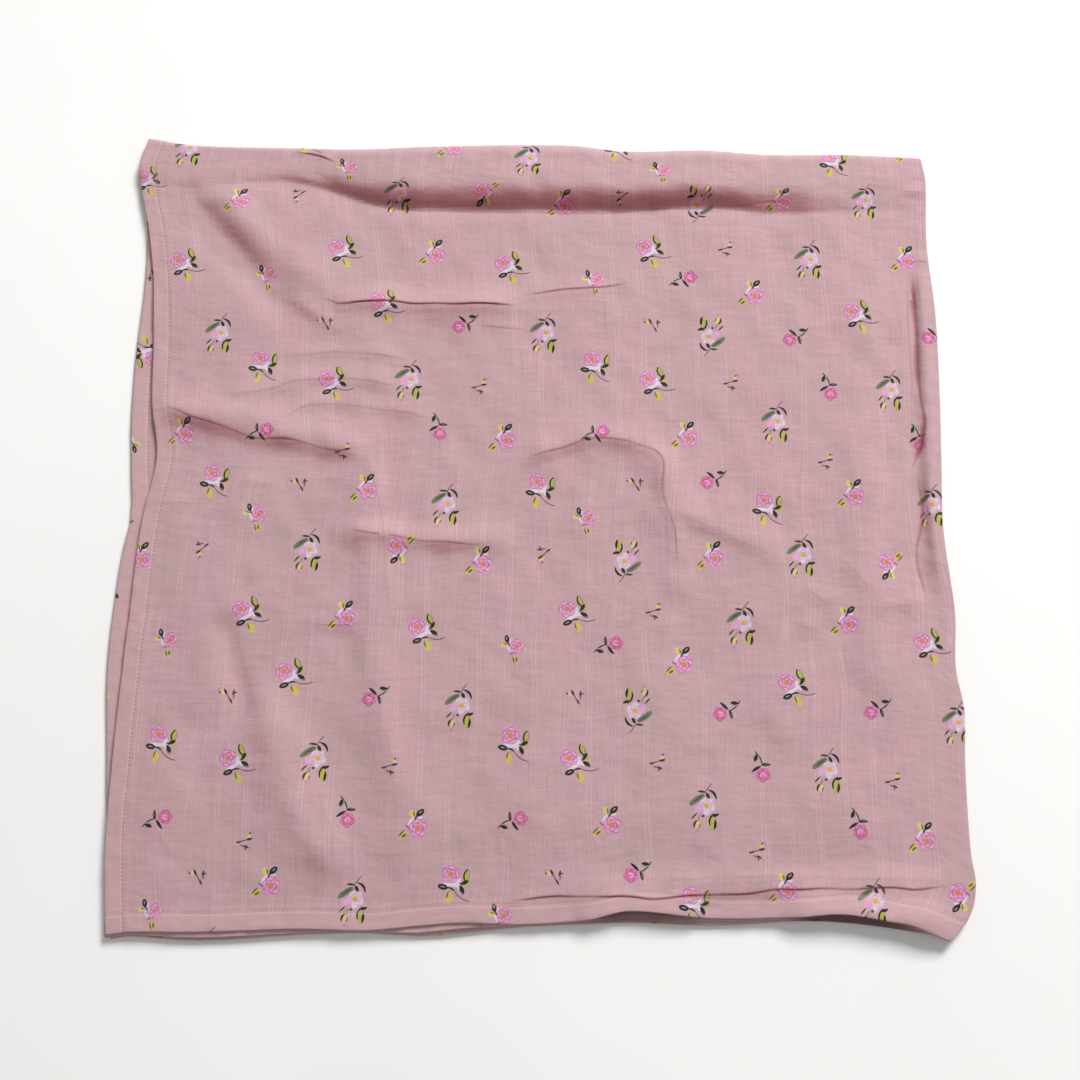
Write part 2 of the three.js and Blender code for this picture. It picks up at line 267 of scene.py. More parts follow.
@dataclass(frozen=True)
class Crease:
    """A crease of the top layer: a soft trough or ridge with a pinched line along it.

    Attributes:
        name: what a maker would call it.
        path: points that it runs through, in mm.
        lift: the soft ridge on its left side, or below zero its trough, in mm.
        half: half width of that soft form, in mm.
        line: how sharp the pinched line is, from 0 to 1.
        pinch: how the line is pinched.
    """

    name: str
    path: tuple[Point, ...]
    lift: float
    half: float
    line: float
    pinch: Pinch = Pinch.TUCK

    STEEP = 0.45  # a tuck's right side falls in this share of its left side's half width
    FADE = 22.0  # mm at each end over which it fades
    LONGEST_FADE = 0.35  # of its length, when it is short
    REACH = 36.0  # mm past its ends and sides that it reaches at most
    STEP = 7.0  # mm from one point of its course to the next
    STRAYING = Ripples(0.35, 30, 6, 41)  # mm that it strays to its sides
    STEADY, UNSTEADY = 0.8, Ripples(0.2, 45, 6, 42)  # its strength along the line

    def course(self) -> Array:
        """Points at steps on a smooth curve through the path."""
        points = np.array(self.path, float)
        reached = np.concatenate([[0.0], np.cumsum(np.hypot(*np.diff(points, axis=0).T))])
        table = Table("reached x y", tuple(zip(reached, points[:, 0], points[:, 1])))
        where = np.linspace(0, reached[-1], max(3, int(reached[-1] / self.STEP)))
        return np.stack([table.curve("x", where), table.curve("y", where)], axis=1)

    def measure(self, x: Array, y: Array) -> tuple[Array, Array]:
        """Where plan points stand beside the crease.

        For each straight run of the course, the nearest point on it is found, and the nearest run counts.

        Args:
            x, y: the plan points, in mm.

        Returns:
            The distance to the crease, positive on its left and a little unsteady, and the fade, which is
            about 1 along the crease and falls smoothly to 0 at its ends. Points past REACH have no fade.
        """
        points = self.course()
        low, high = points.min(axis=0) - self.REACH, points.max(axis=0) + self.REACH
        near = (x > low[0]) & (x < high[0]) & (y > low[1]) & (y < high[1])
        near_x, near_y = x[near], y[near]
        runs = np.diff(points, axis=0)
        lengths = np.hypot(runs[:, 0], runs[:, 1])
        reached = np.concatenate([[0.0], np.cumsum(lengths)])
        best = np.full(near_x.shape, np.inf)
        signed, share = np.zeros_like(best), np.zeros_like(best)
        for start, run, length, before in zip(points, runs, lengths, reached):
            off_x, off_y = near_x - start[0], near_y - start[1]
            t = np.clip((off_x * run[0] + off_y * run[1]) / length**2, 0.0, 1.0)
            distance = np.hypot(off_x - t * run[0], off_y - t * run[1])
            nearer = distance < best
            side = np.where(off_y * run[0] - off_x * run[1] >= 0, 1.0, -1.0)
            best = np.where(nearer, distance, best)
            signed = np.where(nearer, side * distance, signed)
            share = np.where(nearer, (before + t * length) / reached[-1], share)
        ending = min(self.LONGEST_FADE, self.FADE / reached[-1])
        distances, fades = np.full(x.shape, self.REACH), np.zeros(x.shape)
        distances[near] = signed + self.STRAYING.at(near_x, near_y)
        steadiness = self.STEADY + self.UNSTEADY.at(near_x, near_y)
        fades[near] = steadiness * rise(0.0, ending, share) * rise(0.0, ending, 1 - share)
        return distances, fades

    def height(self, x: Array, y: Array) -> Array:
        """Height it adds: lift * fade * exp(-(d / w) ** 2), w being half, or less on a tuck's steep side."""
        distance, fade = self.measure(x, y)
        steep = self.half * (self.STEEP if self.pinch is Pinch.TUCK else 1.0)
        width = np.where(distance > 0, self.half, steep)
        return self.lift * fade * np.exp(-((distance / width) ** 2))


CREASES = (
    Crease("foot of the roll", ((-150, 278), (-139, 271), (-124, 264), (-110, 260), (-46, 258), (31, 257), (62, 258),
        (93, 261), (139, 262), (170, 265), (201, 269)), -0.6, 5, 0.45, Pinch.VALLEY),
    Crease("end of the roll", ((-188, 300), (-171, 292), (-155, 282), (-136, 270)), -0.8, 7, 0.12, Pinch.VALLEY),
    Crease("tuck in the fold", ((-204, 316), (-184, 313), (-172, 310), (-156, 303)), 1.4, 4, 1.4),
    Crease("wrinkle at the top fold", ((279, 278), (301, 276)), 1.1, 7, 0.2),
    Crease("wrinkle at the side fold", ((285, 217), (293, 218), (301, 216)), 1.3, 6, 0.4),
    Crease("end crease", ((-271, 287), (-225, 283)), -0.6, 7, 0.15, Pinch.VALLEY),
    Crease("second end crease", ((-301, 258), (-247, 256)), -0.5, 7, 0.15, Pinch.VALLEY),
    Crease("corner drag", ((-291, 284), (-258, 254), (-224, 220), (-198, 201), (-178, 189)),
        -1.9, 11, 0.05, Pinch.VALLEY),
    Crease("shaded slope", ((-216, 204), (-196, 192), (-176, 180), (-157, 166), (-140, 152)), 2.2, 11, 0.0),
    Crease("long tuck", ((-166, 189), (-151, 182), (-129, 184), (-81, 182), (-14, 181)), 1.3, 7, 1.4),
    Crease("right tuck", ((-13, 190), (18, 194), (47, 196), (70, 200)), 1.0, 7, 0.8),
    Crease("short tuck", ((-50, 165), (-29, 164), (-4, 161)), 0.9, 7, 0.35),
    Crease("upper drag", ((-199, 140), (-148, 144), (-95, 138)), 1.4, 6, 0.2),
    Crease("second drag", ((-239, 110), (-199, 115), (-183, 121), (-142, 123), (-100, 115)), 1.7, 7, 0.22),
    Crease("third drag", ((-197, 86), (-172, 102), (-115, 99), (-74, 91)), 1.3, 7, 0.18),
    Crease("side drag", ((-289, 100), (-275, 101), (-259, 93), (-243, 89), (-212, 77), (-181, 75), (-152, 67),
        (-130, 70)), 1.9, 9, 0.5),
    Crease("drop from the drag", ((-130, 70), (-122, 44), (-114, 13), (-112, -25), (-104, -69)), 1.2, 8, 0.13),
    Crease("faint lower drop", ((-114, -123), (-104, -157), (-101, -186)), 1.1, 8, 0.1),
    Crease("middle tuck", ((-146, 7), (-117, 4), (-91, 0), (-60, -3), (-34, -4)), 1.4, 6, 0.45),
    Crease("arch", ((-14, 60), (14, 68), (30, 74), (42, 77), (59, 75), (74, 71), (86, 67), (91, 58), (90, 42),
        (91, 30), (95, 19), (98, 6), (99, -26)), 1.6, 7, 0.4),
    Crease("arch branch", ((97, 20), (129, 7), (159, -8), (173, -10)), 1.2, 8, 0.08),
    Crease("low slope", ((-221, -56), (-212, -89), (-197, -134)), 1.9, 10, 0.1),
    Crease("bright ridge", ((-188, -128), (-172, -147), (-146, -204), (-141, -233)), 1.3, 9, 0.05),
    Crease("low valley", ((-259, -126), (-221, -147)), -1.7, 11, 0.08, Pinch.VALLEY),
    Crease("side wrinkle", ((-300, 28), (-240, 28)), 0.9, 8, 0.1),
    Crease("second side wrinkle", ((-226, 46), (-185, 38)), 0.9, 8, 0.1),
    Crease("third side wrinkle", ((-175, 46), (-129, 44)), 0.8, 8, 0.1),
    Crease("low side wrinkle", ((-174, -60), (-148, -63), (-120, -61)), 1.1, 7, 0.2),
    Crease("right wrinkle", ((188, -33), (205, -46), (213, -54)), 1.0, 8, 0.12),
    Crease("right bright ridge", ((231, -54), (248, -50), (286, -46)), 1.3, 8, 0.1),
    Crease("right low wrinkle", ((180, -63), (204, -66)), 0.8, 8, 0.1),
    Crease("right slant", ((208, -8), (233, -29), (239, -49)), 1.0, 9, 0.1),
    Crease("soft upright", ((245, 75), (242, -2), (246, -33), (246, -63), (238, -116)), 0.8, 10, 0.0),
    Crease("groove by the fold", ((285, 208), (285, 182), (285, 154), (285, 123), (286, 104), (288, 91), (285, 76),
        (280, 64), (274, 49)), -2.2, 4.5, 1.0, Pinch.VALLEY),
    Crease("bank of the groove", ((284, 92), (280, 118), (280, 160), (280, 206)), 1.4, 7, 0.4),
    Crease("groove further down", ((280, 53), (281, 38), (282, 22), (279, 7), (276, -4), (275, -15), (277, -26),
        (282, -44)), -1.4, 5, 0.8, Pinch.VALLEY),
    Crease("pleat over the hem", ((-23, -255), (9, -251), (28, -251), (59, -251), (76, -253), (86, -252), (97, -251),
        (110, -250), (145, -249), (173, -246), (214, -246), (242, -245), (259, -247), (277, -244), (287, -245)),
        0.7, 5, 1.0),
    Crease("line over the pleat", ((69, -241), (150, -238), (284, -241)), 0.5, 6, 0.1),
    Crease("ridge by the hem", ((-55, -261), (-41, -266)), 0.7, 6, 0.1),
)


def stepped(start: tuple[float, ...], runs: Runs) -> Array:
    """Rising places in mm: the given ones, then for each run even steps on to its end, so many of them."""
    places = [np.array(start)]
    for end, count in runs:
        places.append(np.linspace(places[-1][-1], end, count + 1)[1:])
    return np.concatenate(places)


@dataclass(frozen=True)
class Stations:
    """Stations across one fold of the cloth, from one hem to the other.

    Attributes:
        share: the way from the hem to the fold, from 0 to 1 and back to 0.
        turn: 1 before the fold, 0 after it, and between them through the turn.
        bulge: how far out the turn stands, from 0 to 1.
        turn_steps: how many steps the turn takes.
    """

    share: Array
    turn: Array
    bulge: Array
    turn_steps: int

    # The first stations, in mm from the cut edge, close together where the hem gets thinner
    HEM = (0.0, 0.8, 4.0, 7.5, 11.0, 14.0, 15.6)
    HIDDEN_HEM = (0.0, 0.8, 4.0, 7.5, 11.0, 15.6)

    @classmethod
    def over(cls, runs: Runs, hidden_runs: Runs, turn_steps: int) -> "Stations":
        """Sets out the stations from a hem to the fold, through its turn and on to the hidden hem.

        Args:
            runs: even steps up to the fold: the place that each run goes to, in mm, and its steps.
            hidden_runs: the same on the hidden side, from its own hem to the fold.
            turn_steps: how many steps of equal angle the half turn takes.

        Returns:
            The stations: through the turn at the angle a, turn is (1 + cos a) / 2 and bulge is sin a.
        """
        half = runs[-1][0]
        before, after = stepped(cls.HEM, runs) / half, stepped(cls.HIDDEN_HEM, hidden_runs) / half
        angle = np.linspace(0, math.pi, turn_steps + 1)[1:-1]
        return cls(
            share=np.concatenate([before, np.ones_like(angle), after[::-1]]),
            turn=np.concatenate([np.ones_like(before), (1 + np.cos(angle)) / 2, np.zeros_like(after)]),
            bulge=np.concatenate([np.zeros_like(before), np.sin(angle), np.zeros_like(after)]),
            turn_steps=turn_steps,
        )

    @property
    def fold(self) -> int:
        """The last station before the turn."""
        return int(np.flatnonzero(self.turn == 1).max())


@dataclass
class FoldedCloth:
    """The folded cloth: its sizes in mm and the grid of its middle surface."""

    name: str = "muslin_mat_cloth"
    width: float = 600  # from the open side hems to the side folds, half of the flat cloth
    depth: float = 594  # from the open bottom hems to the top fold, half of the flat cloth
    body_thickness: float = 0.5
    hem_thickness: float = 1.1
    hem: float = 15  # how deep the hems are
    floor_gap: float = 0.55  # from the resting surface to the middle of the lowest layer
    pitch: float = 2.2  # from the middle of one layer to the middle of the next
    loft: float = 2.8  # air under the top layer, fading out over loft_margin from the edges
    loft_margin: float = 70
    deepest_hollow: float = -0.4  # of the main folds
    deepest_trough: float = -0.8  # of the creases in them
    floor_stiffness: float = 4.0  # how sharply a trough is held there
    still_margin: float = 40  # over which the top layer's unevenness fades out to the edges
    pucker_reach: float = 16  # how far the edges' puckers reach in
    inner_roll_share: float = 0.6
    inner_fold_inset: float = 2.5
    roll_crest: float = 0.24
    roll_steepness: float = 2.3
    roll_end_steepness: float = 1.1
    roll_end: Point = (0.72, 0.92)  # across, where the roll gets gentler
    roll_widening: float = 9.5
    draw_in_from: float = 0.9
    hang_reach: float = 12  # how far in the open side edges hang down
    hang: Point = (1.0, 0.5)  # by how much, on the top and second layers
    open_gap: Point = (1.2, 5.0)  # air under the top layer at which the painted shadow in its gap starts, and where it is full
    columns: Stations = field(init=False)
    rows: Stations = field(init=False)
    plan_x: Array = field(init=False)
    plan_y: Array = field(init=False)
    gap_shade: Array = field(init=False)
    middle: Array = field(init=False)

    UNEVEN = (Ripples(0.55, 75, 9, 11), Ripples(0.28, 30, 12, 12))
    PUCKERS = Ripples(0.24, 13, 10, 13)
    SECOND_UNEVEN = Ripples(0.3, 60, 8, 21)
    THIRD_UNEVEN = Ripples(0.25, 55, 8, 22)
    WAVERING_HEMS = (Ripples(0.28, 34, 7, 31), Ripples(0.28, 34, 7, 32), Ripples(0.28, 34, 7, 33))

    def __post_init__(self) -> None:
        """Sets out the stations, finer towards the folds, and works out the middle surface."""
        self.columns = Stations.over(((566, 151), (self.width, 11)), ((self.width, 34),), turn_steps=8)
        self.rows = Stations.over(((532, 139), (self.depth, 26)), ((532, 30), (self.depth, 5)), turn_steps=11)
        self.middle = self.middle_surface()

    def roll_lift(self, across: Array, up: Array) -> Array:
        """Lift of the soft roll at the top fold: a level crest, then a fall to a sharp valley.

        The fall is height * cos(s ** steepness * pi / 2) of the share s of the way to the valley. It is
        gentler towards the side folds.
        """
        height = TOP_FOLD.curve("roll_height", across)
        width = TOP_FOLD.curve("roll_width", across) + self.roll_widening
        from_outline = (1 - up) * self.depth + (3 * self.pitch + height) / 2
        share = np.clip((from_outline / width - self.roll_crest) / (1 - self.roll_crest), 0.0, 1.0)
        steepness = mix(self.roll_steepness, self.roll_end_steepness, rise(*self.roll_end, across))
        return height * np.cos(share**steepness * math.pi / 2)

    def top_relief(self, x: Array, y: Array, across: Array, up: Array) -> Array:
        """Relief of the top layer over its flat height: air, main folds, creases and a gentle unevenness.

        The sum is held above the deepest trough by a soft floor, f + log(1 + exp(k (h - f))) / k.
        """
        from_side = np.minimum(across, 1 - across) * self.width
        from_end = np.minimum(up, 1 - up) * self.depth
        air = self.loft * rise(0, self.loft_margin, from_side) * rise(0, self.loft_margin, from_end)
        folds = sum(fold.lift(x, y) for fold in MAIN_FOLDS)
        creases = sum(crease.height(x, y) for crease in CREASES)
        inside = rise(0, self.still_margin, from_side) * rise(0, self.still_margin, from_end)
        uneven = inside * (self.UNEVEN[0].at(x, y) + self.UNEVEN[1].at(x, y))
        edge = np.exp(-((np.minimum(from_side, from_end) / self.pucker_reach) ** 2))
        height = np.maximum(air + folds, self.deepest_hollow) + creases + uneven + edge * self.PUCKERS.at(x, y)
        lowest, stiffness = self.deepest_trough, self.floor_stiffness
        return lowest + np.logaddexp(0, stiffness * (height - lowest)) / stiffness

    def middle_surface(self) -> Array:
        """The grid of points of the cloth's middle surface, rows by columns by xyz.

        A point stands at the share across and up between its layer's hem edges and its folds. Its height is
        its layer's, mixed through the turns. At a fold it stands out by the turn's radius times sin(angle),
        and the layers draw in by that radius over their last share. The hidden layers are uneven away from
        the edges, and all but the lowest waver at the open hems. The gap's shade follows the lift of the top
        layer along the open edges and the side folds.

        Returns:
            The points in mm.
        """
        side, end = self.columns, self.rows
        up, across = np.meshgrid(end.share, side.share, indexing="ij")
        over, outer = np.meshgrid(end.turn, side.turn, indexing="ij")
        end_bulge, side_bulge = np.meshgrid(end.bulge, side.bulge, indexing="ij")

        def blend(top: Array, second: Array, third: Array, lowest: Array) -> Array:
            """Mixes the four layers' values by outer and over."""
            return mix(mix(third, lowest, outer), mix(second, top, outer), over)

        layers = ("top", "second", "third", "lowest")
        left = blend(*(SIDE_HEMS.curve(name, up) for name in layers))
        bottom = blend(*(BOTTOM_HEMS.curve(name, across) for name in layers))
        right = mix(SIDE_FOLDS.curve("lower", up), SIDE_FOLDS.curve("upper", up), over)
        self.plan_x, self.plan_y = x, y = mix(left, right, across), mix(bottom, TOP_FOLD.curve("y", across), up)

        roll = self.roll_lift(across, up)
        inside = rise(0, 0.12, np.minimum(across, 1 - across)) * rise(0, 0.12, np.minimum(up, 1 - up))
        at_hems = (1 - rise(0, 0.06, across)) + (1 - rise(0, 0.06, up))
        wavering = np.minimum(at_hems, 1) * (1 - rise(0.85, 1, np.maximum(across, up)))
        top = self.floor_gap + 3 * self.pitch + roll + self.top_relief(x, y, across, up)
        second = self.floor_gap + 2 * self.pitch + roll * self.inner_roll_share + inside * self.SECOND_UNEVEN.at(x, y)
        third = self.floor_gap + self.pitch + inside * self.THIRD_UNEVEN.at(x, y)
        lowest = np.full_like(x, self.floor_gap)
        hanging = np.exp(-((across * self.width / self.hang_reach) ** 2))
        upper_layers = (top - self.hang[0] * hanging, second - self.hang[1] * hanging, third)
        top, second, third = (
            layer + wavering * ripples.at(x, y) for layer, ripples in zip(upper_layers, self.WAVERING_HEMS)
        )

        # painted shadow in the gap under the lifted top layer, strongest where it stands highest
        lift = rise(*self.open_gap, top - second - self.pitch)
        lift = lift * (1 - rise(0.06, 0.12, up)) * (1 - rise(0.93, 0.97, across))
        self.gap_shade = lift * (1 - outer * over)

        side_radius = mix(third - lowest, top - second, over) / 2
        inner_radius, outer_radius = (second - third) / 2, (top - lowest) / 2
        end_radius = mix(inner_radius, outer_radius, outer)
        side_setback = side_radius * (1 - side_bulge) * rise(self.draw_in_from, 1, across)
        inset = self.inner_fold_inset * (1 - outer)
        end_setback = (inset + outer_radius - end_radius * end_bulge) * rise(self.draw_in_from, 1, up)
        return np.stack([x - side_setback, y - end_setback, blend(top, second, third, lowest)], axis=-1)

    def flat_places(self) -> tuple[Array, Array]:
        """Distances on the flat cloth from its first side hem and first bottom hem, in mm, at each point.

        Before a fold a distance is the share of the way times the half size. Through the turn it grows by
        the steps between neighbouring points, and after it what is left of the flat size is shared out.
        """
        places = []
        for axis, stations, half in ((1, self.columns, self.width), (0, self.rows, self.depth)):
            points = np.moveaxis(self.middle, axis, 0)
            turn = slice(stations.fold, stations.fold + stations.turn_steps + 1)
            steps = np.linalg.norm(np.diff(points[turn], axis=0), axis=2)
            arc = np.cumsum(np.concatenate([np.zeros_like(steps[:1]), steps]), axis=0)
            share = stations.share[:, None]
            after = half + arc[-1] + (1 - share) * (half - arc[-1])
            place = np.where(np.arange(len(share))[:, None] <= stations.fold, share * half, after)
            place[turn] = half + arc
            places.append(np.moveaxis(place, 0, axis))
        return places[0], places[1]

    def thickness(self, across: Array, up: Array) -> Array:
        """Thickness at distances from the two hems: the hem's, falling to the body's at the hem's inner edge.

        The outermost edge is thinner, so that the turned edge looks rounded.
        """
        from_edge = (across, 2 * self.width - across, up, 2 * self.depth - up)
        nearest = np.minimum.reduce(from_edge)
        inner = rise(self.hem - 0.9, self.hem + 0.6, nearest)
        rounded = mix(0.55, 1.0, rise(-0.1, 0.9, nearest))
        return mix(self.hem_thickness, self.body_thickness, inner) * rounded


class Sprig(Enum):
    """The kinds of printed sprig, each with its place in the drawing of all of them, in steps of 80 mm."""

    SPRAY = 0  # a rose with leaves on both sides and a thin stem
    POSY = 1  # a rose with three leaves
    WHITE = 2  # a white flower hanging under grey leaves, with a bud
    ROSEBUD = 3
    TWIG = 4


SPRIG_RADII = np.array([15.5, 14.0, 19.0, 12.5, 10.0])  # of each kind in turn, in mm


@dataclass(frozen=True)
class Placing:
    """Sprigs of one kind that lie the same way round.

    Attributes:
        kind: which sprig it is.
        turn: how far it is turned anticlockwise, in degrees.
        size: its size beside the drawn one.
        places: where they stand in the repeat, in mm.
    """

    kind: Sprig
    turn: float
    size: float
    places: tuple[Point, ...]


# One repeat of the print, charted in the mat's plan: it comes again each REPEAT_UP and REPEAT_ACROSS
REPEAT_UP = (60.0, 280.0)
REPEAT_ACROSS = (744.0, -9.0)
BARE = np.array([(-303.0, -122.0), (-299.0, -235.0)])  # places by the side hem where the photo shows no sprig
CHART = (
    Placing(Sprig.SPRAY, 0, 1.0, ((-304, 287), (-271, 216), (-154, 120), (-150, 226), (-117, 181), (-23, 213),
        (85, 226), (86, 120), (241, 173), (341, 203))),
    Placing(Sprig.SPRAY, -35, 1.0, ((-239, 45), (-207, 134), (1, 38), (42, 133), (167, 24))),
    Placing(Sprig.POSY, 0, 1.0, ((-265, 82), (-232, 268), (-128, 38), (-81, 224), (-27, 77), (17, 264), (108, 79),
        (161, 191), (185, 268), (229, 34), (280, 220), (328, 68))),
    Placing(Sprig.POSY, 180, 1.0, ((-42, 273), (314, 261), (352, 29))),
    Placing(Sprig.POSY, 60, 0.85, ((-208, 18), (-208, 206), (33, 15), (41, 201))),
    Placing(Sprig.WHITE, 0, 1.0, ((-335, 35), (-243, 158), (-110, 271), (-99, 121), (-70, 25), (2, 158), (174, 88),
        (204, 217), (249, 267), (261, 113), (288, 24), (356, 146))),
    Placing(Sprig.WHITE, 180, 1.0, ((124, 266), (130, 158))),
    Placing(Sprig.ROSEBUD, -75, 1.0, ((-57, 167), (127, 46), (192, 157), (299, 158))),
    Placing(Sprig.ROSEBUD, 95, 1.0, ((-206, 80), (42, 79), (110, 202))),
    Placing(Sprig.ROSEBUD, 0, 1.0, ((-76, 85), (215, 116), (281, 77))),
    Placing(Sprig.TWIG, 0, 1.0, ((-177, 44), (-162, 169), (70, 44), (85, 168))),
    Placing(Sprig.TWIG, -105, 1.0, ((-143, 66), (-43, 117), (144, 227), (145, 120), (213, 59), (310, 107))),
    Placing(Sprig.TWIG, 100, 1.0, ((-188, 273), (61, 269))),
)

@dataclass(frozen=True)
class PrintLayout:
    """Where the sprigs stand over the whole flat cloth, in the coordinates of the print, in mm."""

    centre: Array
    turn: Array
    size: Array
    kind: Indices

    CELL = 80.0  # from one kind's place to the next one's in the drawing of all kinds
    OFF = -100.0  # both coordinates of a quad that no sprig reaches
    LOW, HIGH = -420.0, 1010.0  # both coordinates of the printed square's two corners
    TIMES_ACROSS, TIMES_UP = range(-1, 3), range(-4, 6)  # the repeats that reach it
    BARE_REACH = 8.0  # no sprig stands nearer to a bare place
    SLICES = 24  # the quads are compared with all sprigs in so many slices

    @classmethod
    def whole(cls) -> "PrintLayout":
        """The sprigs of the printed square: each place of the chart + i * REPEAT_ACROSS + j * REPEAT_UP."""
        rows = [
            (x, y, math.radians(group.turn), group.size, group.kind.value) for group in CHART for x, y in group.places
        ]
        chart = np.array(rows, float)
        shift = np.array([(i, j) for i in cls.TIMES_ACROSS for j in cls.TIMES_UP]) @ [REPEAT_ACROSS, REPEAT_UP]
        centre = (chart[None, :, :2] + shift[:, None, :]).reshape(-1, 2)
        turn, size, kind = np.tile(chart[:, 2:], (len(shift), 1)).T
        inside = ((centre >= cls.LOW) & (centre <= cls.HIGH)).all(axis=1)
        for bare in BARE:
            inside &= np.hypot(*(centre - bare).T) > cls.BARE_REACH
        return cls(centre[inside], turn[inside], size[inside], kind[inside].astype(int))

    def offsets(self, corners: Array) -> tuple[Indices, Array]:
        """The sprig whose centre is nearest to the middle of each quad, and how far the quad is from it.

        Args:
            corners: the quads' corners in print coordinates, quads by four by two.

        Returns:
            The sprig's number for each quad, and its corners' offsets from the sprig's centre, in mm.
        """
        slices = np.array_split(corners.mean(axis=1), self.SLICES)
        own = np.concatenate([((part[:, None] - self.centre) ** 2).sum(axis=2).argmin(axis=1) for part in slices])
        return own, corners - self.centre[own][:, None]

    def local(self, corners: Array) -> Array:
        """Coordinates of quad corners in the drawing of the sprig that is nearest to each quad.

        The offset from the sprig's centre is turned back by its turn, divided by its size and moved to its
        kind's place. A quad that lies off every sprig holds OFF.

        Args:
            corners: the quads' corners in print coordinates, quads by four by two.

        Returns:
            Quads by four by two, in mm.
        """
        own, off = self.offsets(corners)
        x, y = np.moveaxis(off / self.size[own][:, None, None], -1, 0)
        cosine, sine = np.cos(self.turn[own])[:, None], np.sin(self.turn[own])[:, None]
        x, y = x * cosine + y * sine, y * cosine - x * sine
        kind = self.kind[own]
        out = np.stack([x + self.CELL * kind[:, None], y], axis=-1)
        out[np.hypot(x, y).min(axis=1) > SPRIG_RADII[kind]] = self.OFF
        return out


class Ink(Enum):
    """The colours of the print, as red, green and blue from 0 to 255."""

    PETAL = (218, 158, 198)
    DEEP_PETAL = (186, 84, 144)
    BUD = (208, 118, 164)
    DEEP_BUD = (174, 66, 120)
    BUD_LIGHT = (224, 160, 198)
    LILAC = (200, 158, 192)
    HEART = (198, 126, 88)
    GOLD = (208, 160, 78)
    CREAM = (206, 194, 110)
    FILLER = (214, 204, 216)
    BLACK_GREEN = (20, 20, 18)
    BROWN = (104, 78, 80)
    SLATE = (120, 112, 112)
    PALE_GREEN = (150, 158, 140)
    GREY_GREEN = (104, 114, 86)
    DARK_GREEN = (38, 44, 24)
    OLIVE = (104, 100, 42)
    YELLOW = (198, 184, 84)
    LIME = (172, 172, 76)
    PLUM = (82, 48, 62)

    @property
    def linear(self) -> Colour:
        """The colour in linear light, with full alpha."""
        return linear_colour(self.value)


def linear_colour(rgb: tuple[int, int, int]) -> Colour:
    """The base colour that looks like a screen colour from 0 to 255 in the studio.

    In linear light it is ((c + 0.055) / 1.055) ** 2.4, or c / 12.92 when dark, over the studio's gain.
    """
    parts = [c / 255 for c in rgb]
    light = [(c / 12.92 if c <= 0.04045 else ((c + 0.055) / 1.055) ** 2.4) / STUDIO_GAIN for c in parts]
    return (light[0], light[1], light[2], 1.0)


@dataclass(frozen=True)
class Stroke:
    """One printed leaf, stem or petal of a sprig: a line of some width, bowed and pointed at its ends.

    Attributes:
        ink: its colour.
        x, y: its middle, from the sprig's centre, in mm.
        turn: the way it runs, anticlockwise from +X, in degrees.
        reach: half its length, in mm.
        half: half its width, in mm.
        bow: how far its middle stands to its left, in mm.
        point: how its width falls to its ends: 0.15 blunt, 0.5 oval, 0.8 a leaf.
    """

    ink: Ink
    x: float
    y: float
    turn: float
    reach: float
    half: float
    bow: float = 0.0
    point: float = 0.8


@dataclass(frozen=True)
class Rose:
    """A printed flower head: a lobed round of petals with thin lines and a small heart.

    Attributes:
        x, y: its middle, from the sprig's centre, in mm.
        radius: its radius, in mm.
        swirl: how far its lobes are turned, in radians.
        lobes: how deep they are, as a share of the radius.
        petal, line, heart, fleck: its colours.
    """

    x: float
    y: float
    radius: float
    swirl: float = 1.0
    lobes: float = 0.06
    petal: Ink = Ink.PETAL
    line: Ink = Ink.DEEP_PETAL
    heart: Ink = Ink.HEART
    fleck: Ink = Ink.FILLER


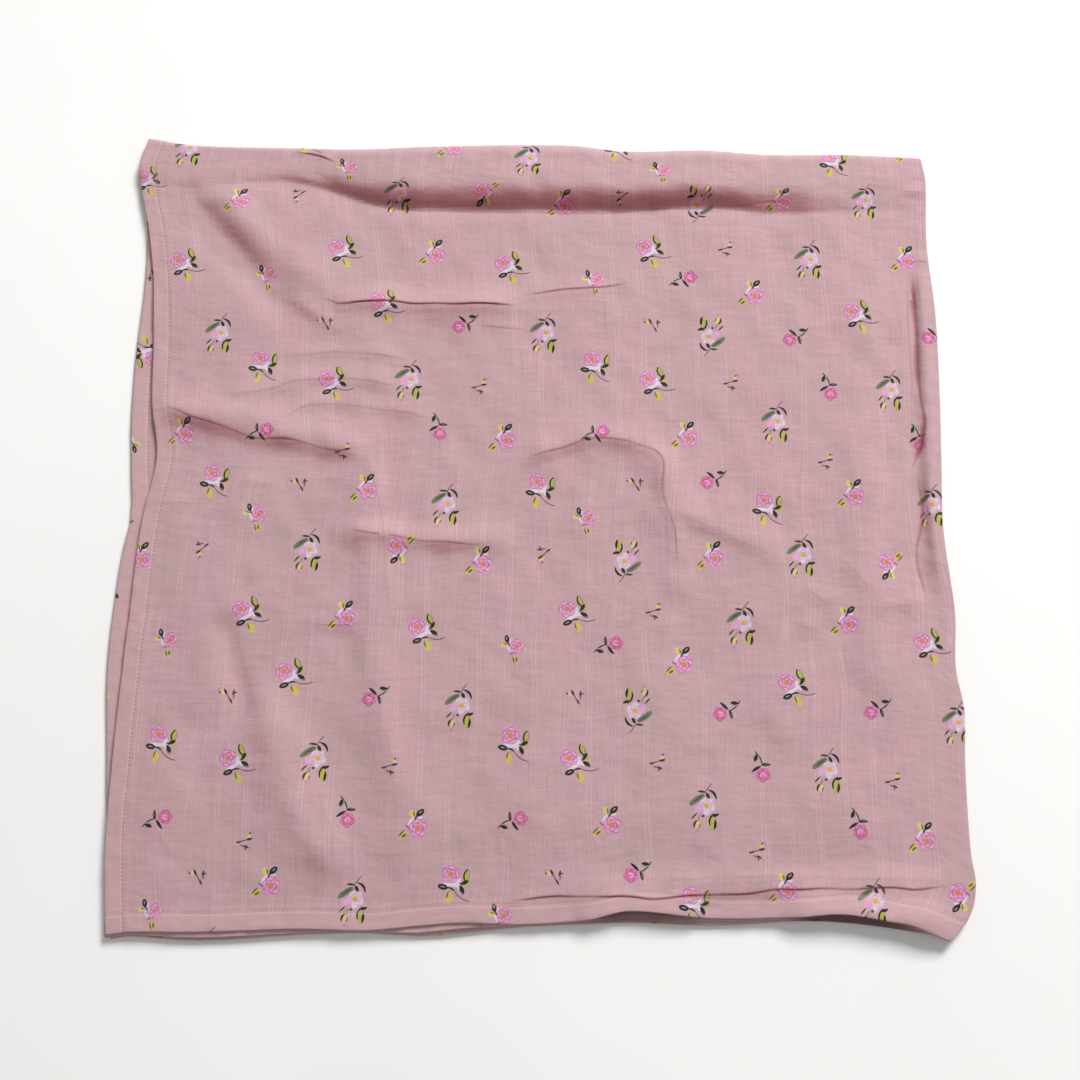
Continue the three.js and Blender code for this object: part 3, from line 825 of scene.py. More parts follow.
DRAWINGS: dict[Sprig, tuple[Stroke | Rose, ...]] = {
    Sprig.SPRAY: (
        Stroke(Ink.BROWN, 9.6, -4.6, 2, 6.0, 0.4, -1.3, 0.15),
        Stroke(Ink.FILLER, -0.4, -1.7, 22, 4.8, 1.5, 0.0, 0.5),
        Stroke(Ink.FILLER, 1.5, 1.8, 78, 2.6, 1.2, 0.0, 0.5),
        Stroke(Ink.FILLER, -3.2, -4.2, 14, 3.4, 1.0, 0.0, 0.5),
        Stroke(Ink.FILLER, 3.8, -0.6, -60, 2.2, 1.0, 0.0, 0.5),
        Rose(-5.4, 3.0, 6.3),
        Stroke(Ink.DARK_GREEN, 0.5, -5.2, 8, 3.4, 0.7, 0.7),
        Stroke(Ink.YELLOW, 2.6, -10.6, -60, 3.7, 2.4, 0.0, 0.5),
        Stroke(Ink.OLIVE, 0.9, -9.4, -74, 2.8, 0.6, -0.3),
        Stroke(Ink.BLACK_GREEN, -5.0, -6.9, 22, 3.6, 2.0, 0.0, 0.6),
        Stroke(Ink.PALE_GREEN, -5.0, -7.0, 24, 1.8, 0.4, 0.2),
        Stroke(Ink.DARK_GREEN, 3.9, 8.6, 112, 4.4, 2.2),
        Stroke(Ink.LIME, 4.3, 8.9, 112, 3.6, 1.4),
        Stroke(Ink.LIME, 7.0, 3.4, 30, 2.8, 1.5),
        Stroke(Ink.BLACK_GREEN, 5.9, 4.2, 58, 3.0, 1.3),
        Stroke(Ink.DARK_GREEN, 4.5, 1.9, 20, 1.6, 0.6),
        Stroke(Ink.SLATE, 7.5, -1.9, -28, 2.9, 1.2),
        Stroke(Ink.BLACK_GREEN, 6.8, -0.8, -24, 3.1, 1.4),
    ),
    Sprig.POSY: (
        Stroke(Ink.FILLER, -2.3, 1.6, 62, 4.0, 1.7, 0.3, 0.5),
        Stroke(Ink.FILLER, 2.2, 4.4, 20, 3.4, 1.2, 0.4, 0.5),
        Rose(2.2, -2.2, 6.6, 2.6),
        Stroke(Ink.CREAM, -1.8, 7.7, 120, 2.9, 2.1, 0.0, 0.5),
        Stroke(Ink.OLIVE, -0.8, 7.4, 100, 2.2, 0.6, -0.3),
        Stroke(Ink.DARK_GREEN, 0.9, 5.1, 50, 2.4, 0.6),
        Stroke(Ink.BLACK_GREEN, 3.7, 8.2, 42, 3.5, 2.0, 0.0, 0.6),
        Stroke(Ink.PALE_GREEN, 4.1, 8.6, 42, 1.5, 0.42, 0.2),
        Stroke(Ink.BROWN, -5.1, -1.2, -45, 1.9, 0.45),
        Stroke(Ink.YELLOW, -8.0, -7.1, 38, 3.8, 2.2),
        Stroke(Ink.OLIVE, -7.3, -7.3, 36, 2.2, 0.9),
        Stroke(Ink.BROWN, -8.8, -5.7, 46, 3.2, 0.6, 0.3),
    ),
    Sprig.WHITE: (
        Stroke(Ink.BROWN, 4.1, 14.2, 52, 4.2, 0.35, 0.2, 0.15),
        Rose(2.6, 1.9, 6.0, 0.4, 0.13, Ink.FILLER, Ink.LILAC, Ink.GOLD, Ink.PETAL),
        Stroke(Ink.PETAL, -2.6, 0.5, 30, 3.4, 2.3, 0.0, 0.5),
        Stroke(Ink.LILAC, -1.0, -1.0, 35, 2.4, 0.6),
        Stroke(Ink.DARK_GREEN, -0.6, 11.5, -6, 3.1, 0.8, 0.3),
        Stroke(Ink.GREY_GREEN, -4.1, 6.1, 34, 6.3, 2.0, 0.4, 0.4),
        Stroke(Ink.DARK_GREEN, -3.2, 6.9, 35, 4.6, 0.4, 0.2),
        Stroke(Ink.BLACK_GREEN, 6.6, 9.6, -50, 4.5, 0.9, 1.6, 0.5),
        Stroke(Ink.BLACK_GREEN, 3.5, 8.9, -62, 2.4, 1.2),
        Stroke(Ink.PLUM, -0.2, -5.0, 10, 1.1, 0.9, 0.0, 0.5),
        Stroke(Ink.BLACK_GREEN, -6.3, -5.0, 45, 3.1, 0.55, 0.2),
        Stroke(Ink.SLATE, -3.1, -6.2, 72, 2.6, 0.4),
        Stroke(Ink.CREAM, -3.9, -10.9, 66, 2.6, 1.7, 0.0, 0.6),
        Stroke(Ink.DARK_GREEN, -5.4, -10.4, 66, 3.1, 0.8, 0.9),
        Stroke(Ink.BROWN, -3.0, -11.5, 70, 2.0, 0.45, -0.3),
        Stroke(Ink.BUD, -4.4, -15.2, 40, 1.4, 0.8),
        Stroke(Ink.BLACK_GREEN, 6.1, -7.4, 68, 4.6, 2.3),
        Stroke(Ink.LIME, 6.6, -7.7, 68, 4.0, 1.5),
        Stroke(Ink.LIME, 6.2, -12.0, 64, 3.0, 1.6),
        Stroke(Ink.BLACK_GREEN, 8.8, -4.4, 22, 2.5, 1.0),
        Stroke(Ink.BLACK_GREEN, 7.8, -10.8, 82, 3.6, 1.0, -0.4),
    ),
    Sprig.ROSEBUD: (
        Stroke(Ink.DARK_GREEN, -0.9, 6.9, -62, 5.4, 0.5, 1.0, 0.15),
        Rose(1.9, -4.7, 5.0, 0.2, 0.08, Ink.BUD, Ink.DEEP_BUD, Ink.BUD, Ink.BUD_LIGHT),
        Stroke(Ink.BUD_LIGHT, 1.2, -4.4, 62, 2.2, 0.6, 0.4),
        Stroke(Ink.BUD_LIGHT, 3.4, -4.2, 98, 2.0, 0.5, 0.3),
        Stroke(Ink.PALE_GREEN, -1.9, 6.9, 72, 2.8, 1.3),
        Stroke(Ink.BLACK_GREEN, -2.8, 7.2, 68, 2.9, 1.3),
        Stroke(Ink.BLACK_GREEN, -2.6, -0.6, 32, 4.1, 1.05, 0.3),
        Stroke(Ink.BLACK_GREEN, 4.2, 2.2, 2, 3.4, 1.15, 0.4),
        Stroke(Ink.GREY_GREEN, 4.9, 2.8, 8, 2.0, 0.45, 0.2),
    ),
    Sprig.TWIG: (
        Stroke(Ink.BUD, -6.4, 2.1, 40, 1.5, 0.6),
        Stroke(Ink.PLUM, -5.2, 0.1, -20, 1.5, 0.65),
        Stroke(Ink.CREAM, -3.2, 0.2, 0, 1.7, 1.4, 0.0, 0.5),
        Stroke(Ink.DARK_GREEN, -1.6, 0.7, -65, 2.5, 0.9),
        Stroke(Ink.BROWN, 0.7, -3.4, -62, 3.7, 0.42, 0.0, 0.2),
        Stroke(Ink.PLUM, 2.3, -5.8, -68, 2.1, 0.75),
        Stroke(Ink.PLUM, 3.9, 0.1, 80, 2.3, 0.85),
        Stroke(Ink.PLUM, 5.4, 0.0, 30, 1.2, 0.5),
        Stroke(Ink.BROWN, 4.1, -2.8, 72, 1.6, 0.45),
    ),
}


@dataclass(frozen=True)
class NodeBench:
    """Adds nodes to one node tree and links them.

    Attributes:
        tree: the tree it works on.
    """

    tree: NodeTree

    def plug(self, socket: Socket, value: Any) -> None:
        """Links a socket to another one, or sets its own value."""
        if isinstance(value, bpy.types.NodeSocket):
            self.tree.links.new(value, socket)
        elif value is not None:
            socket.default_value = value

    def add(self, kind: str, inputs: dict[Any, Any] | None = None, **settings: Any) -> bpy.types.Node:
        """Adds a node.

        Args:
            kind: its Blender type name, without the leading ShaderNode.
            inputs: socket names or numbers, with values or sockets.
            settings: attributes of the node.

        Returns:
            The new node.
        """
        node = self.tree.nodes.new("ShaderNode" + kind)
        for name, value in settings.items():
            setattr(node, name, value)
        for name, value in (inputs or {}).items():
            self.plug(node.inputs[name], value)
        return node

    def use(self, group: NodeTree, inputs: dict[str, Any]) -> dict[str, Socket]:
        """Places a node group with its own values, and gives its outputs by name."""
        return dict(self.add("Group", inputs, node_tree=group).outputs.items())

    def math(self, operation: str, first: Any, second: Any = None, third: Any = None) -> Socket:
        """The result of one sum on numbers."""
        return self.add("Math", {0: first, 1: second, 2: third}, operation=operation).outputs[0]

    def vector(self, operation: str, first: Any, second: Any = None) -> bpy.types.Node:
        """One sum on vectors."""
        return self.add("VectorMath", {0: first, 1: second}, operation=operation)

    def length(self, vector: Socket) -> Socket:
        """The length of a vector."""
        return self.vector("LENGTH", vector).outputs["Value"]

    def parts(self, vector: Socket) -> bpy.types.bpy_prop_collection:
        """The three numbers of a vector."""
        return self.add("SeparateXYZ", {0: vector}).outputs

    def ramp(self, value: Any, low: float, high: float, to_low: float = 0.0, to_high: float = 1.0) -> Socket:
        """A smooth step from one value to another."""
        inputs = {"Value": value, "From Min": low, "From Max": high, "To Min": to_low, "To Max": to_high}
        return self.add("MapRange", inputs, interpolation_type="SMOOTHSTEP").outputs[0]

    def blend(self, share: Any, first: Any, second: Any, mode: str = "MIX") -> Socket:
        """A mix of two colours."""
        return self.add("Mix", {0: share, 6: first, 7: second}, data_type="RGBA", blend_type=mode).outputs[2]

    def noise(self, where: Socket, stretch: Place, detail: float = 2.0) -> Socket:
        """Noise from 0 to 1 on a vector that is stretched first."""
        scaled = self.vector("MULTIPLY", where, stretch).outputs[0]
        return self.add("TexNoise", {"Vector": scaled, "Scale": 1.0, "Detail": detail}).outputs["Fac"]

    def value(self, attribute: str) -> Socket:
        """A number that is stored at each point of the mesh."""
        return self.add("Attribute", attribute_name=attribute).outputs["Fac"]

    def uv(self, name: str, scale: float) -> Socket:
        """A UV map in mm, from the number of mm in its unit."""
        stored = self.add("UVMap", uv_map=name).outputs[0]
        return self.vector("MULTIPLY", stored, (scale, scale, 0.0)).outputs[0]


def node_group(name: str, inputs: dict[str, str], outputs: dict[str, str]) -> tuple[NodeBench, dict[str, Socket]]:
    """Starts a shader node group.

    Args:
        name: the group's name.
        inputs, outputs: socket names, each with its kind: Float, Color or Vector.

    Returns:
        The bench of the new group, and its input sockets by name.
    """
    tree = bpy.data.node_groups.new(name, "ShaderNodeTree")
    for way, sockets in (("INPUT", inputs), ("OUTPUT", outputs)):
        for title, kind in sockets.items():
            tree.interface.new_socket(title, in_out=way, socket_type="NodeSocket" + kind)
    return NodeBench(tree), dict(tree.nodes.new("NodeGroupInput").outputs.items())


def close_group(bench: NodeBench, outputs: dict[str, Socket]) -> NodeTree:
    """Feeds a group's outputs and returns its tree."""
    end = bench.tree.nodes.new("NodeGroupOutput")
    for title, socket in outputs.items():
        bench.plug(end.inputs[title], socket)
    return bench.tree


def numbers(*titles: str) -> dict[str, str]:
    """Socket names, each for a number."""
    return dict.fromkeys(titles, "Float")


@dataclass
class PrintDrawing:
    """The drawings of the sprigs, in mm, as one node group for each kind that lays it on a cloth's colour."""

    edge: float = 0.35  # how soft the inks' edges are, in mm
    stroke_group: NodeTree = field(init=False)
    rose_group: NodeTree = field(init=False)

    TIP_FALL = 4.0  # mm that a stroke narrows by past its ends, for each unit of 1 - x * x
    PETALS = 5.0  # lobes round a flower head
    # How the noises are stretched: waves in a mm across and up, and a number that tells them apart
    RUFFLE = (0.45, 0.45, 1.0)
    FLECKS = (0.5, 0.62, 3.0)
    # From the middle of a flower head to its rim: its edge, its two thin lines and its heart
    RIM = (1.19, 1.07)
    OUTER_LINE, INNER_LINE = 1.05, 0.82
    HEART = (0.46, 0.22)

    def __post_init__(self) -> None:
        """Builds the two groups that the drawings are made of."""
        self.stroke_group = self.build_stroke()
        self.rose_group = self.build_rose()

    def build_stroke(self) -> NodeTree:
        """A stroke's mask.

        In the stroke's own frame, x from -1 to 1 along it and y in mm, its half width is
        half * (1 - x * x) ** point and its line is y = bow * (1 - x * x). The mask rises over the soft edge
        of that width, and past both ends it falls with 1 - x * x.
        """
        sockets = dict.fromkeys(("Vector", "Place", "Turn"), "Vector") | numbers("Reach", "Half", "Bow", "Point")
        bench, given = node_group("printed stroke", sockets, numbers("Mask"))
        place = {"Vector": given["Vector"], "Location": given["Place"], "Rotation": given["Turn"]}
        own = bench.parts(bench.add("Mapping", place, vector_type="TEXTURE").outputs[0])
        along = bench.math("DIVIDE", own[0], given["Reach"])
        fall = bench.math("SUBTRACT", 1.0, bench.math("MULTIPLY", along, along))
        inside = bench.math("MAXIMUM", fall, 0.0)
        width = bench.math("MULTIPLY", given["Half"], bench.math("POWER", inside, given["Point"]))
        across = bench.math("SUBTRACT", own[1], bench.math("MULTIPLY", given["Bow"], inside))
        past_end = bench.math("MULTIPLY", bench.math("MINIMUM", fall, 0.0), self.TIP_FALL)
        depth = bench.math("SUBTRACT", bench.math("ADD", width, past_end), bench.math("ABSOLUTE", across))
        return close_group(bench, {"Mask": bench.ramp(depth, -self.edge / 2, self.edge / 2)})

    def build_rose(self) -> NodeTree:
        """A flower head's mask, petal lines, light flecks and heart.

        r is the distance from the middle as a share of the radius. The rim is lobed with sin(5 angle) and
        ruffled by noise. A thin line stands inside it and another one, lobed the other way round, nearer to
        the heart, and the noise adds some broken lines. The flecks are where a finer noise is high.
        """
        sockets = {"Vector": "Vector", "Place": "Vector"} | numbers("Radius", "Swirl", "Lobes")
        bench, given = node_group("printed rose", sockets, numbers("Mask", "Lines", "Fleck", "Heart"))
        off = bench.vector("SUBTRACT", given["Vector"], given["Place"]).outputs[0]
        share = bench.math("DIVIDE", bench.length(off), given["Radius"])
        parts = bench.parts(off)
        angle = bench.math("ARCTAN2", parts[1], parts[0])
        wave = bench.math("SINE", bench.math("MULTIPLY_ADD", angle, self.PETALS, given["Swirl"]))
        ruffle = bench.noise(off, self.RUFFLE, 1.0)
        rim = bench.math("MULTIPLY_ADD", wave, given["Lobes"], bench.math("MULTIPLY_ADD", ruffle, 0.3, share))
        bent = bench.math("MULTIPLY_ADD", ruffle, 0.5, bench.math("MULTIPLY_ADD", wave, -0.09, share))
        outer = bench.math("ABSOLUTE", bench.math("SUBTRACT", rim, self.OUTER_LINE))
        inner = bench.math("ABSOLUTE", bench.math("SUBTRACT", bent, self.INNER_LINE))
        lines = bench.math("MAXIMUM", bench.ramp(outer, 0.14, 0.0), bench.ramp(inner, 0.16, 0.02))
        thin = bench.math("MULTIPLY", lines, 0.7)
        outputs = {
            "Mask": bench.ramp(rim, *self.RIM),
            "Lines": bench.math("MULTIPLY_ADD", bench.ramp(ruffle, 0.5, 0.62), 0.35, thin),
            "Fleck": bench.ramp(bench.noise(off, self.FLECKS, 1.0), 0.5, 0.66, 0.0, 0.75),
            "Heart": bench.ramp(share, *self.HEART),
        }
        return close_group(bench, outputs)

    def build(self, kind: Sprig) -> NodeTree:
        """One kind of sprig on a cloth's colour: each stroke and rose is laid over the ones before it."""
        title = "printed " + kind.name.lower()
        bench, given = node_group(title, {"Vector": "Vector", "Cloth": "Color"}, {"Color": "Color"})
        colour = given["Cloth"]
        for part in DRAWINGS[kind]:
            place = {"Vector": given["Vector"], "Place": (kind.value * PrintLayout.CELL + part.x, part.y, 0.0)}
            mask, ink = self.rose(bench, place, part) if isinstance(part, Rose) else self.stroke(bench, place, part)
            colour = bench.blend(mask, colour, ink)
        return close_group(bench, {"Color": colour})

    def stroke(self, bench: NodeBench, place: dict[str, Any], part: Stroke) -> tuple[Socket, Colour]:
        """The mask and colour of one stroke."""
        turn = (0.0, 0.0, math.radians(part.turn))
        sizes = {"Turn": turn, "Reach": part.reach, "Half": part.half, "Bow": part.bow, "Point": part.point}
        return bench.use(self.stroke_group, place | sizes)["Mask"], part.ink.linear

    def rose(self, bench: NodeBench, place: dict[str, Any], part: Rose) -> tuple[Socket, Socket]:
        """The mask and colour of one rose head: its petals, then its flecks, lines and heart."""
        sizes = {"Radius": part.radius, "Swirl": part.swirl, "Lobes": part.lobes}
        head = bench.use(self.rose_group, place | sizes)
        colour = part.petal.linear
        for mask, ink in (("Fleck", part.fleck), ("Lines", part.line), ("Heart", part.heart)):
            colour = bench.blend(head[mask], colour, ink.linear)
        return head["Mask"], colour


@dataclass(frozen=True)
class MuslinWeave:
    """The loose weave: slubs and pairs of paler reed lines, from the flat cloth's coordinates in mm."""

    reed_pitch: float = 20.0  # from one pair of reed lines to the next
    reed_gap: float = 2.6  # between the two lines of a pair
    sway: float = 8.0  # how far the lines stray
    reed_height: float = 0.4  # beside the threads'
    crinkle_height: float = 7.5

    # How each noise is stretched: waves in a mm across and up, and a number that tells them apart
    WARP = (0.75, 0.03, 1.0)
    WEFT = (0.026, 0.6, 1.0)
    SLUBS = (0.38, 0.012, 1.0)
    SWAYING = (0.01, 0.004, 3.0)
    REEDS = (0.05, 0.006, 5.0)
    CRINKLE = (0.07, 0.11, 7.0)
    PATCHES = (0.014, 0.011, 9.0)

    def build(self) -> NodeTree:
        """The weave group.

        Warp and weft are noise drawn out along and across the cloth. A reed line is where the distance from
        the nearest line, after the pitch is taken away by whole steps, is small. The height adds a crinkle.
        """
        bench, given = node_group("muslin weave", {"Cloth": "Vector"}, numbers("Tone", "Reed", "Height", "Patch"))
        cloth = given["Cloth"]
        warp, weft = bench.noise(cloth, self.WARP), bench.noise(cloth, self.WEFT)
        slub = bench.ramp(bench.noise(cloth, self.SLUBS, 1.0), 0.6, 0.78)
        sway = bench.math("MULTIPLY", bench.noise(cloth, self.SWAYING, 0.0), self.sway)
        across = bench.math("ADD", bench.parts(cloth)[0], sway)
        beat = bench.math("PINGPONG", across, self.reed_pitch / 2)
        pair = bench.math("ABSOLUTE", bench.math("SUBTRACT", beat, self.reed_gap / 2))
        strength = bench.ramp(bench.noise(cloth, self.REEDS, 0.0), 0.36, 0.62)
        reed = bench.math("MULTIPLY", bench.ramp(pair, 0.75, 0.1), strength)
        thread = bench.math("MULTIPLY_ADD", warp, 0.62, bench.math("MULTIPLY", weft, 0.38))
        tone = bench.math("SUBTRACT", thread, bench.math("MULTIPLY", slub, 0.14))
        crinkle = bench.math("MULTIPLY_ADD", bench.noise(cloth, self.CRINKLE), self.crinkle_height, thread)
        height = bench.math("MULTIPLY_ADD", reed, self.reed_height, crinkle)
        patch = bench.noise(cloth, self.PATCHES)
        return close_group(bench, {"Tone": tone, "Reed": reed, "Height": height, "Patch": patch})


@dataclass(frozen=True)
class HemStitching:
    """A line of machine stitches along all four hems, with the fold line of the hem beside it, in mm."""

    width: float
    depth: float
    inset: float = 13.4  # from the cloth's edge to the stitches
    pitch: float = 2.8  # from one stitch to the next
    thread: float = 0.7  # width of the thread
    wander: float = 1.6  # how far the line strays
    fold_line: float = 2.4  # how far the hem's fold line reaches from it
    faint_hem: float = 0.4  # how much fainter the bottom hems' stitches are

    WANDERING = (0.02, 0.02, 4.0)  # waves in a mm across and up, and a place in the noise

    def build(self) -> NodeTree:
        """The stitch group.

        The distance from the nearest edge is the smallest of the four. Along a line, a stitch covers the
        part of each pitch that its gap leaves free. The height puckers the cloth beside the stitches.
        """
        outputs = numbers("Mask", "Hem", "Band", "Height")
        bench, given = node_group("hem stitching", {"Cloth": "Vector"}, outputs)
        parts = bench.parts(given["Cloth"])
        found = []
        for axis, whole in ((0, self.width), (1, self.depth)):
            place, along = parts[axis], parts[1 - axis]
            edge = bench.math("MINIMUM", place, bench.math("SUBTRACT", whole, place))
            wander = bench.math("MULTIPLY", bench.noise(given["Cloth"], self.WANDERING), self.wander)
            line = bench.math("ABSOLUTE", bench.math("SUBTRACT", bench.math("ADD", edge, wander), self.inset))
            dash = bench.ramp(bench.math("PINGPONG", along, self.pitch / 2), 0.3, 0.6)
            seam = bench.ramp(line, self.thread, self.thread * 0.5, 0.0, 1.0 - self.faint_hem * axis)
            beside, band = bench.ramp(line, self.fold_line, 0.2), bench.ramp(edge, self.inset, self.inset - 1)
            found.append((bench.math("MULTIPLY", seam, dash), beside, band))
        mask, beside, band = (bench.math("MAXIMUM", *pair) for pair in zip(*found))
        height = bench.math("SUBTRACT", bench.math("MULTIPLY", mask, 0.5), bench.math("MULTIPLY", beside, 0.9))
        return close_group(bench, {"Mask": mask, "Hem": beside, "Band": band, "Height": height})


@dataclass(frozen=True)
class PinchedLine:
    """The pinched line of a crease, from the distance to it in mm and its signed strength."""

    tuck_reach: float = 5.0
    tuck_height: float = 0.75
    groove_reach: float = 2.4
    groove_depth: float = 0.4
    pleat_reach: float = 9.0

    def build(self) -> NodeTree:
        """The crease group.

        A tuck, of positive strength, is a step up across the line that fades out on both sides. A valley,
        of negative strength, is a groove. The shade is a soft line, wide only along a deep valley.
        """
        bench, given = node_group("pinched line", {"Crease": "Vector"}, numbers("Shade", "Height", "Pleat"))
        distance, strength, _ = bench.parts(given["Crease"])
        near = bench.math("ABSOLUTE", distance)
        step = bench.math("SUBTRACT", bench.ramp(distance, -1.0, 0.6), 0.5)
        fading = bench.math("MULTIPLY", step, bench.ramp(near, self.tuck_reach, 0.3))
        tuck = bench.math("MULTIPLY", fading, bench.math("MAXIMUM", strength, 0.0))
        groove = bench.ramp(near, self.groove_reach, 0.0)
        groove = bench.math("MULTIPLY", groove, bench.math("MINIMUM", strength, 0.0))
        tuck = bench.math("MULTIPLY", tuck, self.tuck_height)
        groove = bench.math("MULTIPLY", groove, self.groove_depth)
        reach = bench.ramp(strength, -0.9, -0.5, 4.0, 1.5)
        line = bench.ramp(bench.math("DIVIDE", near, reach), 1.0, 0.1)
        shade = bench.math("MULTIPLY", line, bench.math("ABSOLUTE", strength))
        pleat = bench.math("MULTIPLY", bench.ramp(near, self.pleat_reach, 7.0), bench.ramp(strength, 0.4, 0.6))
        return close_group(bench, {"Shade": shade, "Height": bench.math("ADD", tuck, groove), "Pleat": pleat})


@dataclass(frozen=True)
class Tint:
    """A colour that is laid over the cloth.

    Attributes:
        rgb: its red, green and blue, from 0 to 255.
        cover: how strongly it covers what is below it, from 0 to 1.
    """

    rgb: tuple[int, int, int]
    cover: float = 1.0

    @property
    def linear(self) -> Colour:
        """The colour in linear light, with full alpha."""
        return linear_colour(self.rgb)

    def over(self, bench: NodeBench, below: Any, mask: Socket) -> Socket:
        """Lays the colour over another one where a mask is high."""
        return bench.blend(bench.math("MULTIPLY", mask, self.cover), below, self.linear)


@dataclass(frozen=True)
class PrintedMuslin:
    """The finish of the cloth: dusty pink muslin with the print, its ghost, weave, stitches and creases, and painted
    shade in the folds, the gaps and along the creases.
    """

    name: str = "printed muslin"
    light_pink: Tint = Tint((200, 163, 168))
    dusty_pink: Tint = Tint((181, 145, 151))
    grey_pink: Tint = Tint((186, 156, 157), 0.35)  # wide patches
    reed_pink: Tint = Tint((218, 186, 190), 0.28)
    ghost_grey: Tint = Tint((150, 138, 132), 0.18)  # the print of the layer below
    hem_pink: Tint = Tint((202, 164, 166), 0.55)
    # painted shadow in the gaps under the lifted top layer
    gap_shadow_maroon: Tint = Tint((94, 50, 56), 0.8)
    fold_line_pink: Tint = Tint((218, 186, 190), 0.22)  # the inner fold of the hem
    stitch_rose: Tint = Tint((150, 98, 106), 0.52)
    # painted shade along the creases
    crease_shade_rose: Tint = Tint((152, 76, 84), 0.8)
    painted_fold_shade: Colour = (0.92, 0.5, 0.48, 1.0)  # what is left of red, green and blue in the folds' rosy painted shade
    # how strongly the folds' painted shade covers the colour where it is full
    painted_fold_shade_cover: float = 0.85
    ink_cover: Point = (0.32, 0.98)  # on the inner side of the cloth and on its printed side
    worn_ink: float = 0.86  # what is left of the ink in the weave's gaps
    weave_depth: float = 0.1  # mm for each unit of the weave's height
    stitch_depth: float = 0.3
    roughness: Point = (0.95, 0.84)  # between the threads and on them
    sheen: float = 0.22
    sheen_pink: Colour = (1.0, 0.93, 0.93, 1.0)
    ghost_fuzz: float = 13.0
    ghost_reach: Point = (17.0, 7.0)

    def build(self, cloth: FoldedCloth) -> bpy.types.Material:
        """Builds the material.

        The base goes from dusty to light pink with the weave's tone and to a greyer pink in wide patches.
        The ghost of the layer below, the print, the hem stitches and the creases are laid over it, with painted shade
        in the folds that turn from the light, in the gaps under the lifted top layer and along the creases.

        Args:
            cloth: the cloth, for its flat size.

        Returns:
            The material.
        """
        material = bpy.data.materials.new(self.name)
        material.use_nodes = True
        tree = material.node_tree
        tree.nodes.clear()
        bench = NodeBench(tree)

        flat_mm = bench.uv("cloth", 1000.0)
        weave = bench.use(MuslinWeave().build(), {"Cloth": flat_mm})
        stitching = bench.use(HemStitching(2 * cloth.width, 2 * cloth.depth).build(), {"Cloth": flat_mm})
        crease = bench.use(PinchedLine().build(), {"Crease": bench.uv("creases", 100.0)})

        tone = bench.ramp(weave["Tone"], 0.1, 0.82)
        base = bench.blend(tone, self.dusty_pink.linear, self.light_pink.linear)
        base = self.grey_pink.over(bench, base, bench.ramp(weave["Patch"], 0.38, 0.66))
        base = self.reed_pink.over(bench, base, weave["Reed"])
        base = self.ghost_grey.over(bench, base, self.ghost(bench))
        base = self.hem_pink.over(bench, base, stitching["Band"])

        open_hem = bench.math("SUBTRACT", 1.0, crease["Pleat"])
        # The folds' painted shade multiplies the colour; the painted shadow in the gaps, the hem's fold line, the
        # stitches and the painted shade along the creases are laid over it
        layers = [(bench.math("MULTIPLY", bench.value("painted_fold_shade"), self.painted_fold_shade_cover), self.painted_fold_shade, "MULTIPLY")]
        for mask, tint in (
            (bench.value("gap_shade"), self.gap_shadow_maroon),
            (stitching["Hem"], self.fold_line_pink),
            (bench.math("MULTIPLY", stitching["Mask"], open_hem), self.stitch_rose),
            (crease["Shade"], self.crease_shade_rose),
        ):
            layers.append((bench.math("MULTIPLY", mask, tint.cover), tint.linear, "MIX"))

        height = bench.math("MULTIPLY", weave["Height"], self.weave_depth)
        height = bench.math("MULTIPLY_ADD", stitching["Height"], self.stitch_depth, height)
        height = bench.math("ADD", height, crease["Height"])
        bump = bench.add("Bump", {"Height": height, "Distance": MM, "Strength": 1.0}).outputs[0]
        rough = bench.ramp(weave["Tone"], 0.2, 0.7, *self.roughness)

        def skin(colour: Socket) -> Socket:
            """Soft, matt cotton: a colour under the folds' painted shade, the painted shadow in the gaps, the hem
            lines, the stitches and the creases' painted shade.
            """
            for share, over, mode in layers:
                colour = bench.blend(share, colour, over, mode)
            return self.cotton(bench, colour, rough, bump)

        wear = bench.ramp(weave["Tone"], 0.15, 0.5, self.worn_ink, 1.0)
        cover = bench.math("MULTIPLY", bench.ramp(bench.value("printed_side"), 0.0, 1.0, *self.ink_cover), wear)
        drawing = bench.uv("sprigs", 100.0)
        place = bench.math("DIVIDE", bench.parts(drawing)[0], PrintLayout.CELL)
        surface = skin(base)
        prints = PrintDrawing()
        for kind in Sprig:
            sprig = bench.use(prints.build(kind), {"Vector": drawing, "Cloth": base})
            of_kind = bench.math("COMPARE", place, float(kind.value), 0.49)
            inked = skin(bench.blend(cover, base, sprig["Color"]))
            surface = bench.add("MixShader", {0: of_kind, 1: surface, 2: inked}).outputs[0]
        bench.add("OutputMaterial", {"Surface": surface})
        return material

    def cotton(self, bench: NodeBench, colour: Socket, rough: Socket, normal: Socket) -> Socket:
        """The surface of soft, matt cotton in a colour."""
        inputs = {
            "Base Color": colour,
            "Roughness": rough,
            "Normal": normal,
            "Specular IOR Level": 0.3,
            "Sheen Weight": self.sheen,
            "Sheen Roughness": 0.5,
            "Sheen Tint": self.sheen_pink,
        }
        return bench.add("BsdfPrincipled", inputs).outputs[0]

    def ghost(self, bench: NodeBench) -> Socket:
        """The blurred print of the layer below, as soft spots round the middle of each of its sprigs.

        The mask falls with the distance from the middle, in mm, plus some noise.
        """
        off = bench.uv("ghosts", 100.0)
        fuzz = bench.math("MULTIPLY", bench.noise(off, (0.16, 0.16, 1.0)), self.ghost_fuzz)
        return bench.ramp(bench.math("ADD", bench.length(off), fuzz), *self.ghost_reach)


def quad_corners(rows: int, columns: int) -> Indices:
    """The four corners of every quad of a grid, by their number in it, anticlockwise seen from the upper skin."""
    first = np.arange(rows - 1)[:, None] * columns + np.arange(columns - 1)
    return first.reshape(-1, 1) + np.array([0, 1, columns + 1, columns])


